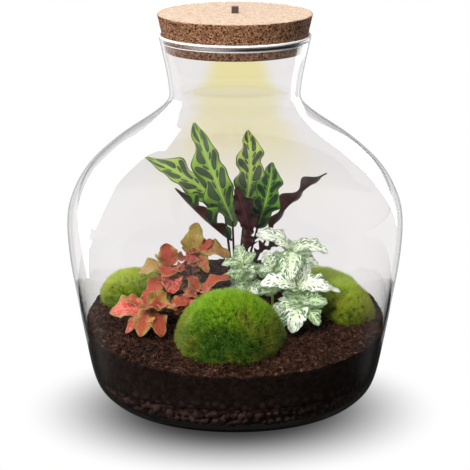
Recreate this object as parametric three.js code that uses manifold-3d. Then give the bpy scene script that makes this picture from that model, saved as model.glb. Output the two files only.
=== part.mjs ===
// A closed bottle garden: a round-bellied glass jar with a cork lid that holds a small lamp, filled
// with clay pebbles, potting soil, three moss cushions, a rattlesnake plant and two nerve plants.
// Millimetres, +Z up, with the origin at the middle of the jar's foot and the front towards -Y.
import * as THREE from "three";
import { mergeVertices } from "three/addons/utils/BufferGeometryUtils.js";
import Module from "manifold-3d";

const wasm = await Module();
wasm.setup();

// Driving dimensions.
const GAP = 0.3; // left between pieces that touch
const JAR_SIDES = 36; // facets round the jar and what fills it
const JAR_STEPS = 19; // facets up the jar's side
const JAR_WALL = 2.2;
const JAR_FLOOR = 4;
const JAR_FLOOR_ROUND = 5; // how far the round between floor and side reaches in
// The jar's outside, as [radius, height] from the edge of the flat foot to the rim.
const JAR_OUTLINE = [
  [86, 0],
  [90.5, 1.5],
  [97.5, 6],
  [105, 14],
  [110, 27],
  [115, 52],
  [120.5, 82],
  [126, 115],
  [127.5, 145],
  [122.5, 165],
  [110.5, 185],
  [88.5, 205],
  [63.5, 222],
  [50.5, 234],
  [49.8, 246],
  [53, 264],
  [57.2, 283],
];
const RIM_ROUND = 1; // how far the melted edge of the rim stands above the outline

const LID_BOTTOM = 272; // above the foot
const LID_HEIGHT = 28;
const LID_RADIUS_BOTTOM = 52.1;
const LID_RADIUS_TOP = 58.2;
const LID_CHAMFER = 1.2;

const LAMP_RADIUS = 22;
const LAMP_DEPTH = 14.7; // of the cup, from its flange's upper face
const LAMP_WALL = 1.6;
const LAMP_FLANGE_RADIUS = 25;
const LAMP_SIDES = 20;
const BOARD_THICKNESS = 1.6;
const BATTERY = [20, 12, 4];
const LED = [3.5, 2.8, 0.8];
const LED_COUNT = 6;
const LED_CIRCLE = 12;
const SWITCH = [6, 6, 3];
const SWITCH_TO_BATTERY = 2;
const DIFFUSER_BULGE = 2;
const DIFFUSER_LIP = 2.5; // of the diffuser inside the cup
const BUTTON_WIDTH = 5.3;
const BUTTON_RISE = 5; // above the lid

const PEBBLE_TOP = 24; // of the drainage layer, above the foot
const PEBBLE_SIDES = 2 * JAR_SIDES;
const PEBBLE_RELIEF = 2.2;
const SOIL_HEIGHT = 65; // in the middle of the jar
const SOIL_RADIUS = 110; // about, where its top meets the jar
const SOIL_SLOPE = 0.125; // the soil rises towards the back
const SOIL_SIDE = [0, 10, 20]; // heights of the rings of its side above its bottom
const SOIL_EDGE_GAP = 0.85; // at the top, where the jar's side is steeper between two rings
const SOIL_RINGS = [1, 0.9, 0.78, 0.65, 0.52, 0.39, 0.26, 0.13];
const ROOT_DEPTH = 14;
const STALK_RISE = 1.5; // how far a stalk stands straight out of the soil before it leans
const HOLE_CLEARANCE = 0.39; // round a root, so that a six-sided hole's flats clear its corners
const MOSS_SINK = 4; // how far a cushion is bedded in the soil
const CUT_RISE = 20; // how far a hollow's cutter stands above the soil

const STALK_SIDES = 6;
const BLADE_THICKNESS = 0.7;

const vector = (p) => new THREE.Vector3(...p);

// ---------------------------------------------------------------------------------------------
// Solids
// ---------------------------------------------------------------------------------------------

/** A closed geometry as a solid with its faces outwards. */
function solid(geometry) {
  const bare = new THREE.BufferGeometry();
  bare.setAttribute("position", geometry.getAttribute("position"));
  bare.setIndex(geometry.index);
  const merged = mergeVertices(bare, 1e-4);
  const vertProperties = merged.getAttribute("position").array;
  const corners = merged.index.array;
  const triVerts = [];
  for (let i = 0; i < corners.length; i += 3) {
    const [a, b, c] = corners.slice(i, i + 3);
    if (a !== b && b !== c && a !== c) triVerts.push(a, b, c);
  }
  const made = new wasm.Manifold(
    new wasm.Mesh({ numProp: 3, vertProperties, triVerts: new Uint32Array(triVerts) }),
  );
  if (made.volume() > 0) return made;
  return new wasm.Manifold(
    new wasm.Mesh({ numProp: 3, vertProperties, triVerts: new Uint32Array(triVerts.reverse()) }),
  );
}

/** Solids joined into one. A tiny hollow that the joining seals is filled. */
function unite(solids) {
  const joined = solids.reduce((whole, next) => whole.add(next));
  const bodies = joined.decompose().filter((body) => body.volume() > 1);
  return bodies.length === 1 ? bodies[0] : joined;
}

/** A named mesh of a solid. */
function piece(name, made, material) {
  const { vertProperties, triVerts } = made.getMesh();
  const geometry = new THREE.BufferGeometry();
  geometry.setAttribute("position", new THREE.BufferAttribute(vertProperties, 3));
  geometry.setIndex(new THREE.BufferAttribute(triVerts, 1));
  geometry.computeVertexNormals();
  const mesh = new THREE.Mesh(geometry, material);
  mesh.name = name;
  return mesh;
}

/**
 * A closed solid through a list of sections with the same even number of points. The two ends are
 * closed with a strip across. With mirrored, the second half of each section is split along the
 * other diagonal, so that a thin blade is split alike on both faces.
 */
function loft(sections, mirrored = false) {
  const count = sections[0].length;
  const index = [];
  const quad = (a, b, c, d) => index.push(a, b, c, a, c, d);
  for (let row = 0; row + 1 < sections.length; row++) {
    for (let k = 0; k < count; k++) {
      const near = [row * count + k, row * count + ((k + 1) % count)];
      const far = near.map((i) => i + count);
      if (mirrored && k >= count / 2) quad(near[1], far[1], far[0], near[0]);
      else quad(near[0], near[1], far[1], far[0]);
    }
  }
  const last = (sections.length - 1) * count;
  for (let k = 0; k < count / 2 - 1; k++) {
    quad(count - 1 - k, count - 2 - k, k + 1, k);
    quad(last + k, last + k + 1, last + count - 2 - k, last + count - 1 - k);
  }
  const geometry = new THREE.BufferGeometry();
  const position = sections.flat().flatMap((p) => p.toArray());
  geometry.setAttribute("position", new THREE.Float32BufferAttribute(position, 3));
  geometry.setIndex(index);
  return solid(geometry);
}

/** A closed ring of points round the Z axis, each worked out from its angle. */
function ring(count, place) {
  return Array.from({ length: count }, (_, k) => place((2 * Math.PI * k) / count));
}

/** A turned solid from [radius, height] points. */
function turned(outline, sides) {
  const points = outline.map(([radius, height]) => new THREE.Vector2(radius, height));
  return solid(new THREE.LatheGeometry(points, sides).rotateX(Math.PI / 2));
}

function box([x, y, z], centre) {
  return solid(new THREE.BoxGeometry(x, y, z).translate(...centre));
}

/** A section of a stalk: a six-sided ring square to the way that the stalk runs. */
function stalkSection(centre, tangent, radius) {
  const front = new THREE.Vector3(0, 1, 0).addScaledVector(tangent, -tangent.y).normalize();
  const side = new THREE.Vector3().crossVectors(tangent, front);
  return ring(STALK_SIDES, (angle) =>
    centre
      .clone()
      .addScaledVector(front, radius * Math.cos(angle))
      .addScaledVector(side, radius * Math.sin(angle)),
  );
}

// ---------------------------------------------------------------------------------------------
// Glass jar
// ---------------------------------------------------------------------------------------------

/** The jar's outline moved inwards by a distance, as [radius, height] points above a height. */
function jarLine(inset, lowest) {
  const curve = new THREE.SplineCurve(JAR_OUTLINE.map(([r, z]) => new THREE.Vector2(r, z)));
  const points = [];
  for (let i = 0; i <= JAR_STEPS; i++) {
    const along = i / JAR_STEPS;
    const point = curve.getPoint(along);
    const tangent = curve.getTangent(along);
    const height = point.y + inset * tangent.x;
    if (height > lowest) points.push([point.x - inset * tangent.y, height]);
  }
  return points;
}

/** The radius of the jar's inside at a height, less a clearance. */
function radiusInside(height, clearance) {
  const line = jarLine(JAR_WALL + clearance, JAR_FLOOR);
  const above = line.findIndex(([, z]) => z > height);
  if (above < 1) return line[0][0];
  const [[r0, z0], [r1, z1]] = [line[above - 1], line[above]];
  return THREE.MathUtils.lerp(r0, r1, (height - z0) / (z1 - z0));
}

function glassJar() {
  const outside = jarLine(0, -1);
  const inside = jarLine(JAR_WALL, JAR_FLOOR + 1).reverse();
  const [rimRadius, rimHeight] = JAR_OUTLINE.at(-1);
  const rim = [rimRadius - JAR_WALL / 2, rimHeight + RIM_ROUND];
  const floorEdge = [inside.at(-1)[0] - JAR_FLOOR_ROUND, JAR_FLOOR];
  return turned([[0, 0], ...outside, rim, ...inside, floorEdge, [0, JAR_FLOOR]], JAR_SIDES);
}

// ---------------------------------------------------------------------------------------------
// Lid with its lamp, in heights above the lid's underside
// ---------------------------------------------------------------------------------------------

const LAMP_INSIDE = LAMP_DEPTH - LAMP_WALL; // height of the cup's inner roof
const BATTERY_TOP = LAMP_INSIDE - GAP;
const BOARD_TOP = BATTERY_TOP - BATTERY[2] - GAP;
const BOARD_BOTTOM = BOARD_TOP - BOARD_THICKNESS;
const FLANGE_BOTTOM = -GAP - LAMP_WALL;

function corkLid() {
  const recess = LAMP_DEPTH + GAP;
  const recessRadius = LAMP_RADIUS + GAP;
  const stopper = turned(
    [
      [0, recess],
      [recessRadius, recess],
      [recessRadius, 0],
      [LID_RADIUS_BOTTOM - LID_CHAMFER, 0],
      [LID_RADIUS_BOTTOM, LID_CHAMFER],
      [LID_RADIUS_TOP, LID_HEIGHT - LID_CHAMFER],
      [LID_RADIUS_TOP - LID_CHAMFER, LID_HEIGHT],
      [0, LID_HEIGHT],
    ],
    JAR_SIDES,
  );
  const width = BUTTON_WIDTH + 2 * GAP;
  return stopper.subtract(box([width, width, 2 * LID_HEIGHT], [0, 0, LID_HEIGHT]));
}

function lampHousing() {
  const inside = LAMP_RADIUS - LAMP_WALL;
  const hole = BUTTON_WIDTH * Math.SQRT1_2 + 2 * GAP;
  const outline = [
    [hole, LAMP_DEPTH],
    [LAMP_RADIUS, LAMP_DEPTH],
    [LAMP_RADIUS, -GAP],
    [LAMP_FLANGE_RADIUS, -GAP],
    [LAMP_FLANGE_RADIUS, FLANGE_BOTTOM],
    [inside, FLANGE_BOTTOM],
    [inside, LAMP_INSIDE],
    [hole, LAMP_INSIDE],
  ];
  return turned([...outline, outline[0]], LAMP_SIDES);
}

function lampBoard() {
  const radius = LAMP_RADIUS - LAMP_WALL - GAP;
  const board = turned(
    [
      [0, BOARD_BOTTOM],
      [radius, BOARD_BOTTOM],
      [radius, BOARD_TOP],
      [0, BOARD_TOP],
    ],
    LAMP_SIDES,
  );
  const leds = Array.from({ length: LED_COUNT }, (_, i) => {
    const angle = (2 * Math.PI * i) / LED_COUNT;
    const height = BOARD_BOTTOM - LED[2] / 2;
    return box([LED[0], LED[1], LED[2] + GAP], [
      LED_CIRCLE * Math.cos(angle),
      LED_CIRCLE * Math.sin(angle),
      height,
    ]);
  });
  const knob = box([SWITCH[0], SWITCH[1], SWITCH[2] + GAP], [0, 0, BOARD_TOP + SWITCH[2] / 2]);
  return unite([board, knob, ...leds]);
}

function lampBattery() {
  const beside = SWITCH[1] / 2 + SWITCH_TO_BATTERY + BATTERY[1] / 2;
  return box(BATTERY, [0, beside, BATTERY_TOP - BATTERY[2] / 2]);
}

function lampDiffuser() {
  const radius = LAMP_RADIUS - LAMP_WALL - GAP;
  return turned(
    [
      [0, FLANGE_BOTTOM - DIFFUSER_BULGE],
      [0.5 * radius, FLANGE_BOTTOM - 0.8 * DIFFUSER_BULGE],
      [0.85 * radius, FLANGE_BOTTOM - 0.3 * DIFFUSER_BULGE],
      [radius, FLANGE_BOTTOM + 0.4],
      [radius, FLANGE_BOTTOM + DIFFUSER_LIP],
      [0, FLANGE_BOTTOM + DIFFUSER_LIP],
    ],
    LAMP_SIDES,
  );
}

function lampButton() {
  const bottom = BOARD_TOP + SWITCH[2] + 2 * GAP;
  const top = LID_HEIGHT + BUTTON_RISE;
  return box([BUTTON_WIDTH, BUTTON_WIDTH, top - bottom], [0, 0, (top + bottom) / 2]);
}

// ---------------------------------------------------------------------------------------------
// Pebbles, soil and moss
// ---------------------------------------------------------------------------------------------

/** The clay pebbles as one bed whose side is raised into pebbles, each row set off from the last. */
function drainagePebbles() {
  const rows = 4;
  const bottom = JAR_FLOOR + GAP;
  const sections = Array.from({ length: rows + 1 }, (_, row) => {
    const height = THREE.MathUtils.lerp(bottom, PEBBLE_TOP, row / rows);
    const edge = radiusInside(height, 3 * GAP) - (row === 0 ? JAR_FLOOR_ROUND : 0);
    return ring(PEBBLE_SIDES, (angle) => {
      const step = Math.round((angle * PEBBLE_SIDES) / (2 * Math.PI));
      const onCrest = row % 2 === 1 && (step + (row - 1) / 2) % 2 === 0;
      const radius = edge - (onCrest ? 0 : PEBBLE_RELIEF);
      return new THREE.Vector3(radius * Math.cos(angle), radius * Math.sin(angle), height);
    });
  });
  return loft(sections);
}

const soilPlane = (y) => SOIL_HEIGHT + SOIL_SLOPE * y;

/** The soil's height: a plane that rises to the back, with loose humps on it. */
function soilHeight(x, y) {
  const humps = 1.6 * Math.sin(x / 9 + 1) * Math.cos(y / 11) + 0.9 * Math.sin(x / 4.3 + y / 5.1);
  return soilPlane(y) + humps;
}

/** A moss cushion's outline at a share of its radii, grown by a clearance. */
function mossPoint({ centre, radii, turn }, angle, share, clearance) {
  const ripple = share * (1 + 0.03 * Math.sin(5 * angle + 1) + 0.02 * Math.sin(9 * angle));
  const along = (radii[0] * ripple + clearance) * Math.cos(angle);
  const across = (radii[1] * ripple + clearance) * Math.sin(angle);
  const [c, s] = [Math.cos(turn), Math.sin(turn)];
  return [centre[0] + along * c - across * s, centre[1] + along * s + across * c];
}

const MOSS_SIDES = 24;

/** A cushion that is bedded in the soil and domes up from it. */
function mossCushion(cushion) {
  const section = (share, height, bumps) =>
    ring(MOSS_SIDES, (angle) => {
      const [x, y] = mossPoint(cushion, angle, share, 0);
      const bump = bumps * Math.sin(3 * angle + height) * Math.cos(x / 6);
      return new THREE.Vector3(x, y, soilPlane(y) + height + bump);
    });
  const domes = [0, 18, 36, 52, 67, 80].map((degrees) => {
    const rise = THREE.MathUtils.degToRad(degrees);
    return section(Math.cos(rise), cushion.height * Math.sin(rise), degrees ? 0.6 : 0);
  });
  return loft([section(0.96, -MOSS_SINK, 0), ...domes]);
}

/** The hollow that a cushion lies in, as the solid to take out of the soil. */
function mossHollow(cushion) {
  const section = (height) =>
    ring(MOSS_SIDES, (angle) => {
      const [x, y] = mossPoint(cushion, angle, 1, 1.5 * GAP);
      return new THREE.Vector3(x, y, soilPlane(y) + height);
    });
  return loft([section(-MOSS_SINK - GAP), section(CUT_RISE)]);
}

const UP = new THREE.Vector3(0, 0, 1);

/** The plain six-sided hole that a stalk's root stands in. */
function rootHole([x, y], radius) {
  const section = (height) =>
    stalkSection(new THREE.Vector3(x, y, soilHeight(x, y) + height), UP, radius + HOLE_CLEARANCE);
  return loft([section(-ROOT_DEPTH - GAP), section(CUT_RISE)]);
}

/** A stalk with a straight root in the soil, then along a smooth curve through points. */
function stalk(points, radiusStart, radiusEnd, steps) {
  const [foot] = points;
  const curve = new THREE.CatmullRomCurve3(points);
  const sections = curve.getSpacedPoints(steps).map((centre, i) => {
    const tangent = i ? curve.getTangentAt(i / steps) : UP;
    return stalkSection(centre, tangent, THREE.MathUtils.lerp(radiusStart, radiusEnd, i / steps));
  });
  const buried = foot.clone().addScaledVector(UP, -ROOT_DEPTH - STALK_RISE);
  return loft([stalkSection(buried, UP, radiusStart), ...sections]);
}

/** The soil, with a hollow for each cushion and a hole for each root. */
function soil(cushions, roots) {
  const bottom = PEBBLE_TOP + GAP;
  const sides = SOIL_SIDE.map((rise) => {
    const height = bottom + rise;
    const radius = radiusInside(height, GAP);
    return ring(JAR_SIDES, (angle) =>
      new THREE.Vector3(radius * Math.sin(angle), radius * Math.cos(angle), height),
    );
  });
  const top = SOIL_RINGS.map((share) =>
    ring(JAR_SIDES, (angle) => {
      const edge = radiusInside(soilPlane(SOIL_RADIUS * Math.cos(angle)), SOIL_EDGE_GAP);
      const [x, y] = [share * edge * Math.sin(angle), share * edge * Math.cos(angle)];
      return new THREE.Vector3(x, y, soilHeight(x, y));
    }),
  );
  const bed = loft([...sides, ...top]);
  const hollows = cushions.map(mossHollow);
  const holes = roots.map(([place, radius]) => rootHole(place, radius));
  return [...hollows, ...holes].reduce((whole, cut) => whole.subtract(cut), bed);
}

// ---------------------------------------------------------------------------------------------
// Leaves
// ---------------------------------------------------------------------------------------------

/** The curve of a leaf's midrib: a parabola from base to tip through a point at its middle. */
function midrib(base, middle, tip) {
  const control = middle.clone().multiplyScalar(2).addScaledVector(base, -0.5).addScaledVector(tip, -0.5);
  return new THREE.QuadraticBezierCurve3(base, control, tip);
}

/**
 * A leaf blade as a thin closed solid along its midrib. The blade reaches sideways by half its
 * width times the kind's outline, which its lobes swell and narrow, and lifts towards its upper
 * face by `cup` of that reach, more or less at each ripple of its margin. The upper face looks
 * along `face`, which may turn to `faceTip` at the tip.
 */
function blade({ base, middle, tip, face, faceTip = face, width, cup }, kind) {
  const curve = midrib(base, middle, tip);
  const sections = kind.rows.map((along) => {
    const centre = curve.getPoint(along);
    const tangent = curve.getTangent(along);
    const looks = vector(face).lerp(vector(faceTip), along);
    const side = new THREE.Vector3().crossVectors(tangent, looks).normalize();
    const up = new THREE.Vector3().crossVectors(side, tangent).normalize();
    const skin = (share, layer) => {
      const wave = Math.sin(2 * Math.PI * kind.waves * along + (share > 0 ? 0 : 2));
      const reach = 0.5 * width * kind.outline(along) * (1 + kind.lobes * wave);
      const lift = (cup + kind.ripple * wave) * Math.abs(share) * reach;
      return centre
        .clone()
        .addScaledVector(side, share * reach)
        .addScaledVector(up, lift + layer * 0.5 * BLADE_THICKNESS);
    };
    return [skin(-1, 1), skin(0, 1), skin(1, 1), skin(1, -1), skin(0, -1), skin(-1, -1)];
  });
  return loft(sections, true);
}

const RATTLESNAKE = {
  rows: [0, 0.08, 0.18, 0.28, 0.38, 0.48, 0.58, 0.68, 0.78, 0.88, 1],
  outline: (along) => Math.max(0.07, Math.sin(Math.PI * along ** 0.85) ** 0.8),
  waves: 3,
  ripple: 0.18,
  lobes: 0.09,
};

const NERVE = {
  rows: [0, 0.12, 0.32, 0.58, 0.83, 1],
  outline: (along) => {
    const inBlade = Math.max(0, along - 0.07) / 0.93;
    return Math.max(0.1, Math.sin(Math.PI * inBlade ** 0.8) ** 0.65);
  },
  waves: 2,
  ripple: 0.06,
  lobes: 0,
};

// Rattlesnake plant: where each leaf stalk comes out of the soil, and its blade.
const RATTLESNAKE_STALK = 1.2; // radius
const RATTLESNAKE_LEAVES = [
  { root: [-3, 40], base: [-6, 42, 136], middle: [-31, 50, 158], tip: [-70, 52, 179],
    face: [0.1, -0.75, 0.65], width: 22, cup: 0.15 },
  { root: [-1, 36], base: [0, 36, 127], middle: [-16, 40, 166], tip: [-32, 44, 207],
    face: [-0.35, -0.9, 0.3], width: 27, cup: 0.2 },
  { root: [3, 43], base: [7, 44, 136], middle: [12, 50, 169], tip: [10, 54, 199],
    face: [0, -0.95, 0.25], width: 22, cup: 0.1 },
  { root: [7, 38], base: [17, 34, 126], middle: [25, 36, 152], tip: [29, 42, 177],
    face: [0.05, -0.9, 0.35], width: 21, cup: 0.1 },
  { root: [5, 31], base: [12, 24, 123], middle: [7, 17, 144], tip: [1, 20, 162],
    face: [0.2, 0.95, 0.1], width: 16, cup: 0.15 },
  { root: [9, 33], base: [27, 22, 128], middle: [47, 13, 156], tip: [70, 6, 176],
    face: [-0.6, 0.7, 0.5], width: 17, cup: 0.5 },
  { root: [-2, 31], base: [-3, 26, 118], middle: [-25, 16, 139], tip: [-46, 8, 164],
    face: [0.45, -0.25, 0.85], width: 19, cup: 0.9 },
  { root: [2, 28], base: [8, 22, 112], middle: [8, 18, 121], tip: [10, 16, 129],
    face: [0.5, 0.7, 0.3], width: 13, cup: 0.8 },
  { root: [8, 28], base: [16, 18, 110], middle: [25, 14, 115], tip: [36, 12, 119],
    face: [-0.1, 0.5, 0.8], width: 12, cup: 0.4 },
  { root: [6, 48], base: [8, 57, 122], middle: [10, 68, 141], tip: [12, 84, 152],
    face: [0, 0.3, 0.9], width: 20, cup: 0.2 },
];

/** One leaf of the rattlesnake plant: a root, a stalk that leans out, and the blade on its end. */
function rattlesnakeLeaf({ root: place, ...leaf }) {
  const [base, middle, tip] = [leaf.base, leaf.middle, leaf.tip].map(vector);
  const foot = new THREE.Vector3(...place, soilHeight(...place) + STALK_RISE);
  const knee = foot.clone().lerp(base, 0.45);
  knee.x += 0.35 * (place[0] - knee.x);
  knee.y += 0.35 * (place[1] - knee.y);
  const inBlade = midrib(base, middle, tip).getPoint(0.03);
  const stem = stalk([foot, knee, inBlade], RATTLESNAKE_STALK, 1, 5);
  const leafBlade = blade({ ...leaf, base, middle, tip }, RATTLESNAKE);
  return stem.add(leafBlade);
}

// Nerve plants: each leafy stem comes out of the soil at its first point, and each leaf grows from
// a share of the stem's length to its tip, arched by some millimetres towards its upper face.
const NERVE_STALK = 1.1; // radius
const NERVE_STEPS = 5; // facets along a stem
const RED_STEMS = {
  nerve_red_back: {
    root: [-34, 23],
    path: [[-36, 20, 88], [-32, 16, 108], [-27, 14, 114]],
    leaves: [
      { at: 0.75, tip: [-29, 20, 134], width: 17, arch: 2, face: [-0.3, -0.9, 0.3] },
      { at: 0.9, tip: [-24, 23, 121], width: 13, arch: 1, face: [0.1, -0.9, 0.3] },
      { at: 0.97, tip: [-17, 12, 122], width: 9, arch: 1, face: [0, -0.7, 0.7] },
      { at: 0.95, tip: [-4, 10, 109], width: 15, arch: 5, face: [0, -0.5, 0.85] },
      { at: 0.95, tip: [-37, 7, 106], width: 12, arch: 2, face: [0.2, -0.8, 0.5] },
      { at: 0.95, tip: [-21, 5, 98], width: 9, arch: 2, face: [0.1, -0.9, 0.3] },
      { at: 0.5, tip: [-39, 6, 92], width: 9, arch: 2, face: [-0.2, -0.8, 0.5] },
      { at: 0.83, tip: [-38, 36, 108], width: 13, arch: 3, face: [0, 0.4, 0.9] },
      { at: 0.9, tip: [-18, 31, 106], width: 12, arch: 3, face: [0.2, 0.4, 0.9] },
    ],
  },
  nerve_red_left: {
    root: [-51, 6],
    path: [[-50, 3, 88], [-50, 1, 104]],
    leaves: [
      { at: 0.97, tip: [-53, 6, 121], width: 16, arch: 1, face: [0, -0.9, 0.4] },
      { at: 0.97, tip: [-52, -12, 99], width: 17, arch: 3, face: [0, -0.4, 0.9] },
      { at: 0.85, tip: [-47, -15, 87], width: 16, arch: 2, face: [0.1, -0.9, 0.4] },
      { at: 0.95, tip: [-74, 5, 99], width: 14, arch: 4, face: [-0.1, -0.6, 0.8] },
      { at: 0.75, tip: [-68, -4, 83], width: 13, arch: 4, face: [-0.4, -0.8, 0.4] },
      { at: 0.85, tip: [-41, -8, 88], width: 9, arch: 2, face: [0.3, -0.9, 0.3] },
      { at: 0.95, tip: [-60, 20, 108], width: 13, arch: 3, face: [-0.2, 0.4, 0.9] },
    ],
  },
  nerve_red_runner: {
    root: [-40, -16],
    path: [[-43, -20, 73], [-54, -25, 77], [-64, -26, 76], [-67, -24, 81]],
    leaves: [
      { at: 0.9, tip: [-95, -20, 74], width: 19, arch: 3, face: [-0.1, -0.6, 0.8] },
      { at: 0.97, tip: [-87, -12, 80], width: 10, arch: 3, face: [-0.1, -0.4, 0.9] },
      { at: 0.85, tip: [-71, -46, 62], width: 15, arch: 4, face: [-0.1, -0.7, 0.7] },
      { at: 0.8, tip: [-55, -46, 62], width: 14, arch: 4, face: [0.2, -0.7, 0.7] },
      { at: 0.85, tip: [-82, -41, 63], width: 9, arch: 3, face: [-0.2, -0.7, 0.7] },
      { at: 0.9, tip: [-53, -17, 89], width: 15, arch: 1, face: [0.1, -0.9, 0.4] },
      { at: 0.97, tip: [-68, -15, 90], width: 8, arch: 1, face: [0, -0.8, 0.6] },
    ],
  },
  nerve_red_front: {
    root: [-30, -4],
    path: [[-29, -8, 80], [-27, -9, 89]],
    leaves: [
      { at: 0.8, tip: [-45, -27, 74], width: 16, arch: 4, face: [-0.3, -0.6, 0.7] },
      { at: 0.97, tip: [-19, -19, 90], width: 10, arch: 2, face: [0.3, -0.6, 0.7] },
      { at: 0.97, tip: [-3, -8, 98], width: 10, arch: 3, face: [0, -0.4, 0.9] },
      { at: 0.9, tip: [-35, -1, 97], width: 9, arch: 2, face: [-0.2, -0.6, 0.8] },
      { at: 0.85, tip: [-18, 6, 90], width: 10, arch: 2, face: [0.3, 0.3, 0.9] },
      { at: 0.7, tip: [-24, -21, 85], width: 8, arch: 2, face: [0.1, -0.8, 0.6] },
    ],
  },
};
const WHITE_STEMS = {
  nerve_white_tall: {
    root: [47, 13],
    path: [[46, 12, 92], [43, 9, 117]],
    leaves: [
      { at: 0.97, tip: [16, 2, 129], width: 15, arch: 6, face: [0, -0.6, 0.8] },
      { at: 0.96, tip: [71, 4, 114], width: 14, arch: 6, face: [0.1, -0.5, 0.85] },
      { at: 0.95, tip: [42, -13, 97], width: 18, arch: 3, face: [-0.1, -0.95, 0.3] },
      { at: 0.85, tip: [64, 4, 104], width: 9, arch: 3, face: [0.2, -0.6, 0.8] },
      { at: 0.95, tip: [47, 31, 115], width: 13, arch: 4, face: [0, 0.4, 0.9] },
    ],
  },
  nerve_white_middle: {
    root: [50, -2],
    path: [[49, -4, 78], [48, -6, 90]],
    leaves: [
      { at: 0.97, tip: [19, -11, 93], width: 16, arch: 6, face: [0, -0.6, 0.8] },
      { at: 0.97, tip: [72, -13, 89], width: 18, arch: 6, face: [0.1, -0.6, 0.8] },
      { at: 0.92, tip: [81, -4, 85], width: 11, arch: 4, face: [0.2, -0.4, 0.9] },
      { at: 0.97, tip: [57, 3, 105], width: 9, arch: 1, face: [0, -0.9, 0.4] },
      { at: 0.9, tip: [60, 17, 90], width: 11, arch: 3, face: [0.2, 0.4, 0.9] },
    ],
  },
  nerve_white_low: {
    root: [49, -17],
    path: [[49, -18, 74], [49, -17, 82]],
    leaves: [
      { at: 0.9, tip: [28, -25, 72], width: 14, arch: 4, face: [-0.3, -0.7, 0.6] },
      { at: 0.95, tip: [70, -20, 81], width: 14, arch: 3, face: [0.1, -0.6, 0.8] },
      { at: 0.97, tip: [43, -39, 63], width: 18, arch: 4, face: [0, -0.7, 0.7] },
      { at: 0.9, tip: [63, -33, 67], width: 15, arch: 3, face: [0.3, -0.6, 0.7] },
      { at: 0.8, tip: [34, -34, 65], width: 11, arch: 3, face: [-0.2, -0.7, 0.7] },
    ],
  },
  nerve_white_left: {
    root: [5, 5],
    path: [[6, 4, 88], [6, 1, 107]],
    leaves: [
      { at: 0.97, tip: [-10, -2, 106], width: 9, arch: 3, face: [0, -0.6, 0.8] },
      { at: 0.97, tip: [2, 6, 120], width: 11, arch: 1, face: [0, -0.9, 0.4] },
      { at: 0.97, tip: [16, 3, 114], width: 8, arch: 2, face: [0.1, -0.7, 0.7] },
      { at: 0.92, tip: [15, -8, 101], width: 9, arch: 2, face: [0.2, -0.7, 0.7] },
      { at: 0.9, tip: [0, -10, 97], width: 10, arch: 2, face: [-0.1, -0.8, 0.6] },
    ],
  },
  nerve_white_inner: {
    root: [29, 8],
    path: [[29, 6, 88], [29, 4, 103]],
    leaves: [
      { at: 0.97, tip: [19, -3, 101], width: 10, arch: 2, face: [-0.2, -0.7, 0.7] },
      { at: 0.97, tip: [23, 2, 115], width: 12, arch: 1, face: [-0.1, -0.9, 0.4] },
      { at: 0.95, tip: [27, 20, 104], width: 10, arch: 3, face: [0, 0.4, 0.9] },
    ],
  },
  nerve_white_sprout: {
    root: [10, -8],
    path: [[10, -9, 78], [10, -10, 87]],
    leaves: [
      { at: 0.97, tip: [17, -19, 88], width: 11, arch: 2, face: [0.1, -0.7, 0.7] },
      { at: 0.95, tip: [-2, -16, 89], width: 9, arch: 2, face: [-0.1, -0.7, 0.7] },
      { at: 0.9, tip: [9, 3, 90], width: 8, arch: 2, face: [0, 0.3, 0.9] },
    ],
  },
};

/** One leafy stem of a nerve plant. */
function nerveStem({ root: place, path, leaves }) {
  const foot = new THREE.Vector3(...place, soilHeight(...place) + STALK_RISE);
  const points = [foot, ...path.map(vector)];
  const joints = new THREE.CatmullRomCurve3(points).getSpacedPoints(NERVE_STEPS);
  const blades = leaves.map(({ at, tip: end, arch, face, width }) => {
    const below = Math.min(Math.floor(at * NERVE_STEPS), NERVE_STEPS - 1);
    const onStem = joints[below].clone().lerp(joints[below + 1], at * NERVE_STEPS - below);
    const tip = vector(end);
    const chord = tip.clone().sub(onStem).normalize();
    const base = onStem.addScaledVector(chord, 0.4 * NERVE_STALK);
    const up = vector(face).addScaledVector(chord, -vector(face).dot(chord)).normalize();
    const middle = base.clone().lerp(tip, 0.5).addScaledVector(up, arch);
    return blade({ base, middle, tip, face, width, cup: 0.2 }, NERVE);
  });
  return unite([stalk(points, NERVE_STALK, 0.8, NERVE_STEPS), ...blades]);
}

// ---------------------------------------------------------------------------------------------
// The terrarium
// ---------------------------------------------------------------------------------------------

const MOSS_CUSHIONS = {
  moss_front: { centre: [-4, -51], radii: [40, 39], turn: 0, height: 38 },
  moss_left: { centre: [-79, 38], radii: [27, 25], turn: 0, height: 20 },
  moss_right: { centre: [79, 30], radii: [50, 23], turn: 1.92, height: 17 },
};

const finish = (color, roughness, metalness = 0) =>
  new THREE.MeshStandardMaterial({ color, roughness, metalness });
const clearGlass = finish("#eef3f2", 0.03);
clearGlass.transparent = true;
clearGlass.opacity = 0.3;

const terrarium = new THREE.Group();
terrarium.add(piece("glass_jar", glassJar(), clearGlass));

const lid = new THREE.Group();
lid.position.z = LID_BOTTOM;
lid.add(
  piece("cork_lid", corkLid(), finish("#c39a6b", 0.85)),
  piece("lamp_housing", lampHousing(), finish("#d9d6cf", 0.5)),
  piece("lamp_board", lampBoard(), finish("#e8e8e0", 0.45)),
  piece("lamp_battery", lampBattery(), finish("#b8bcc2", 0.35, 0.6)),
  piece("lamp_diffuser", lampDiffuser(), finish("#fbf6dc", 0.3)),
  piece("lamp_button", lampButton(), finish("#3a322c", 0.5)),
);
terrarium.add(lid);

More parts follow.
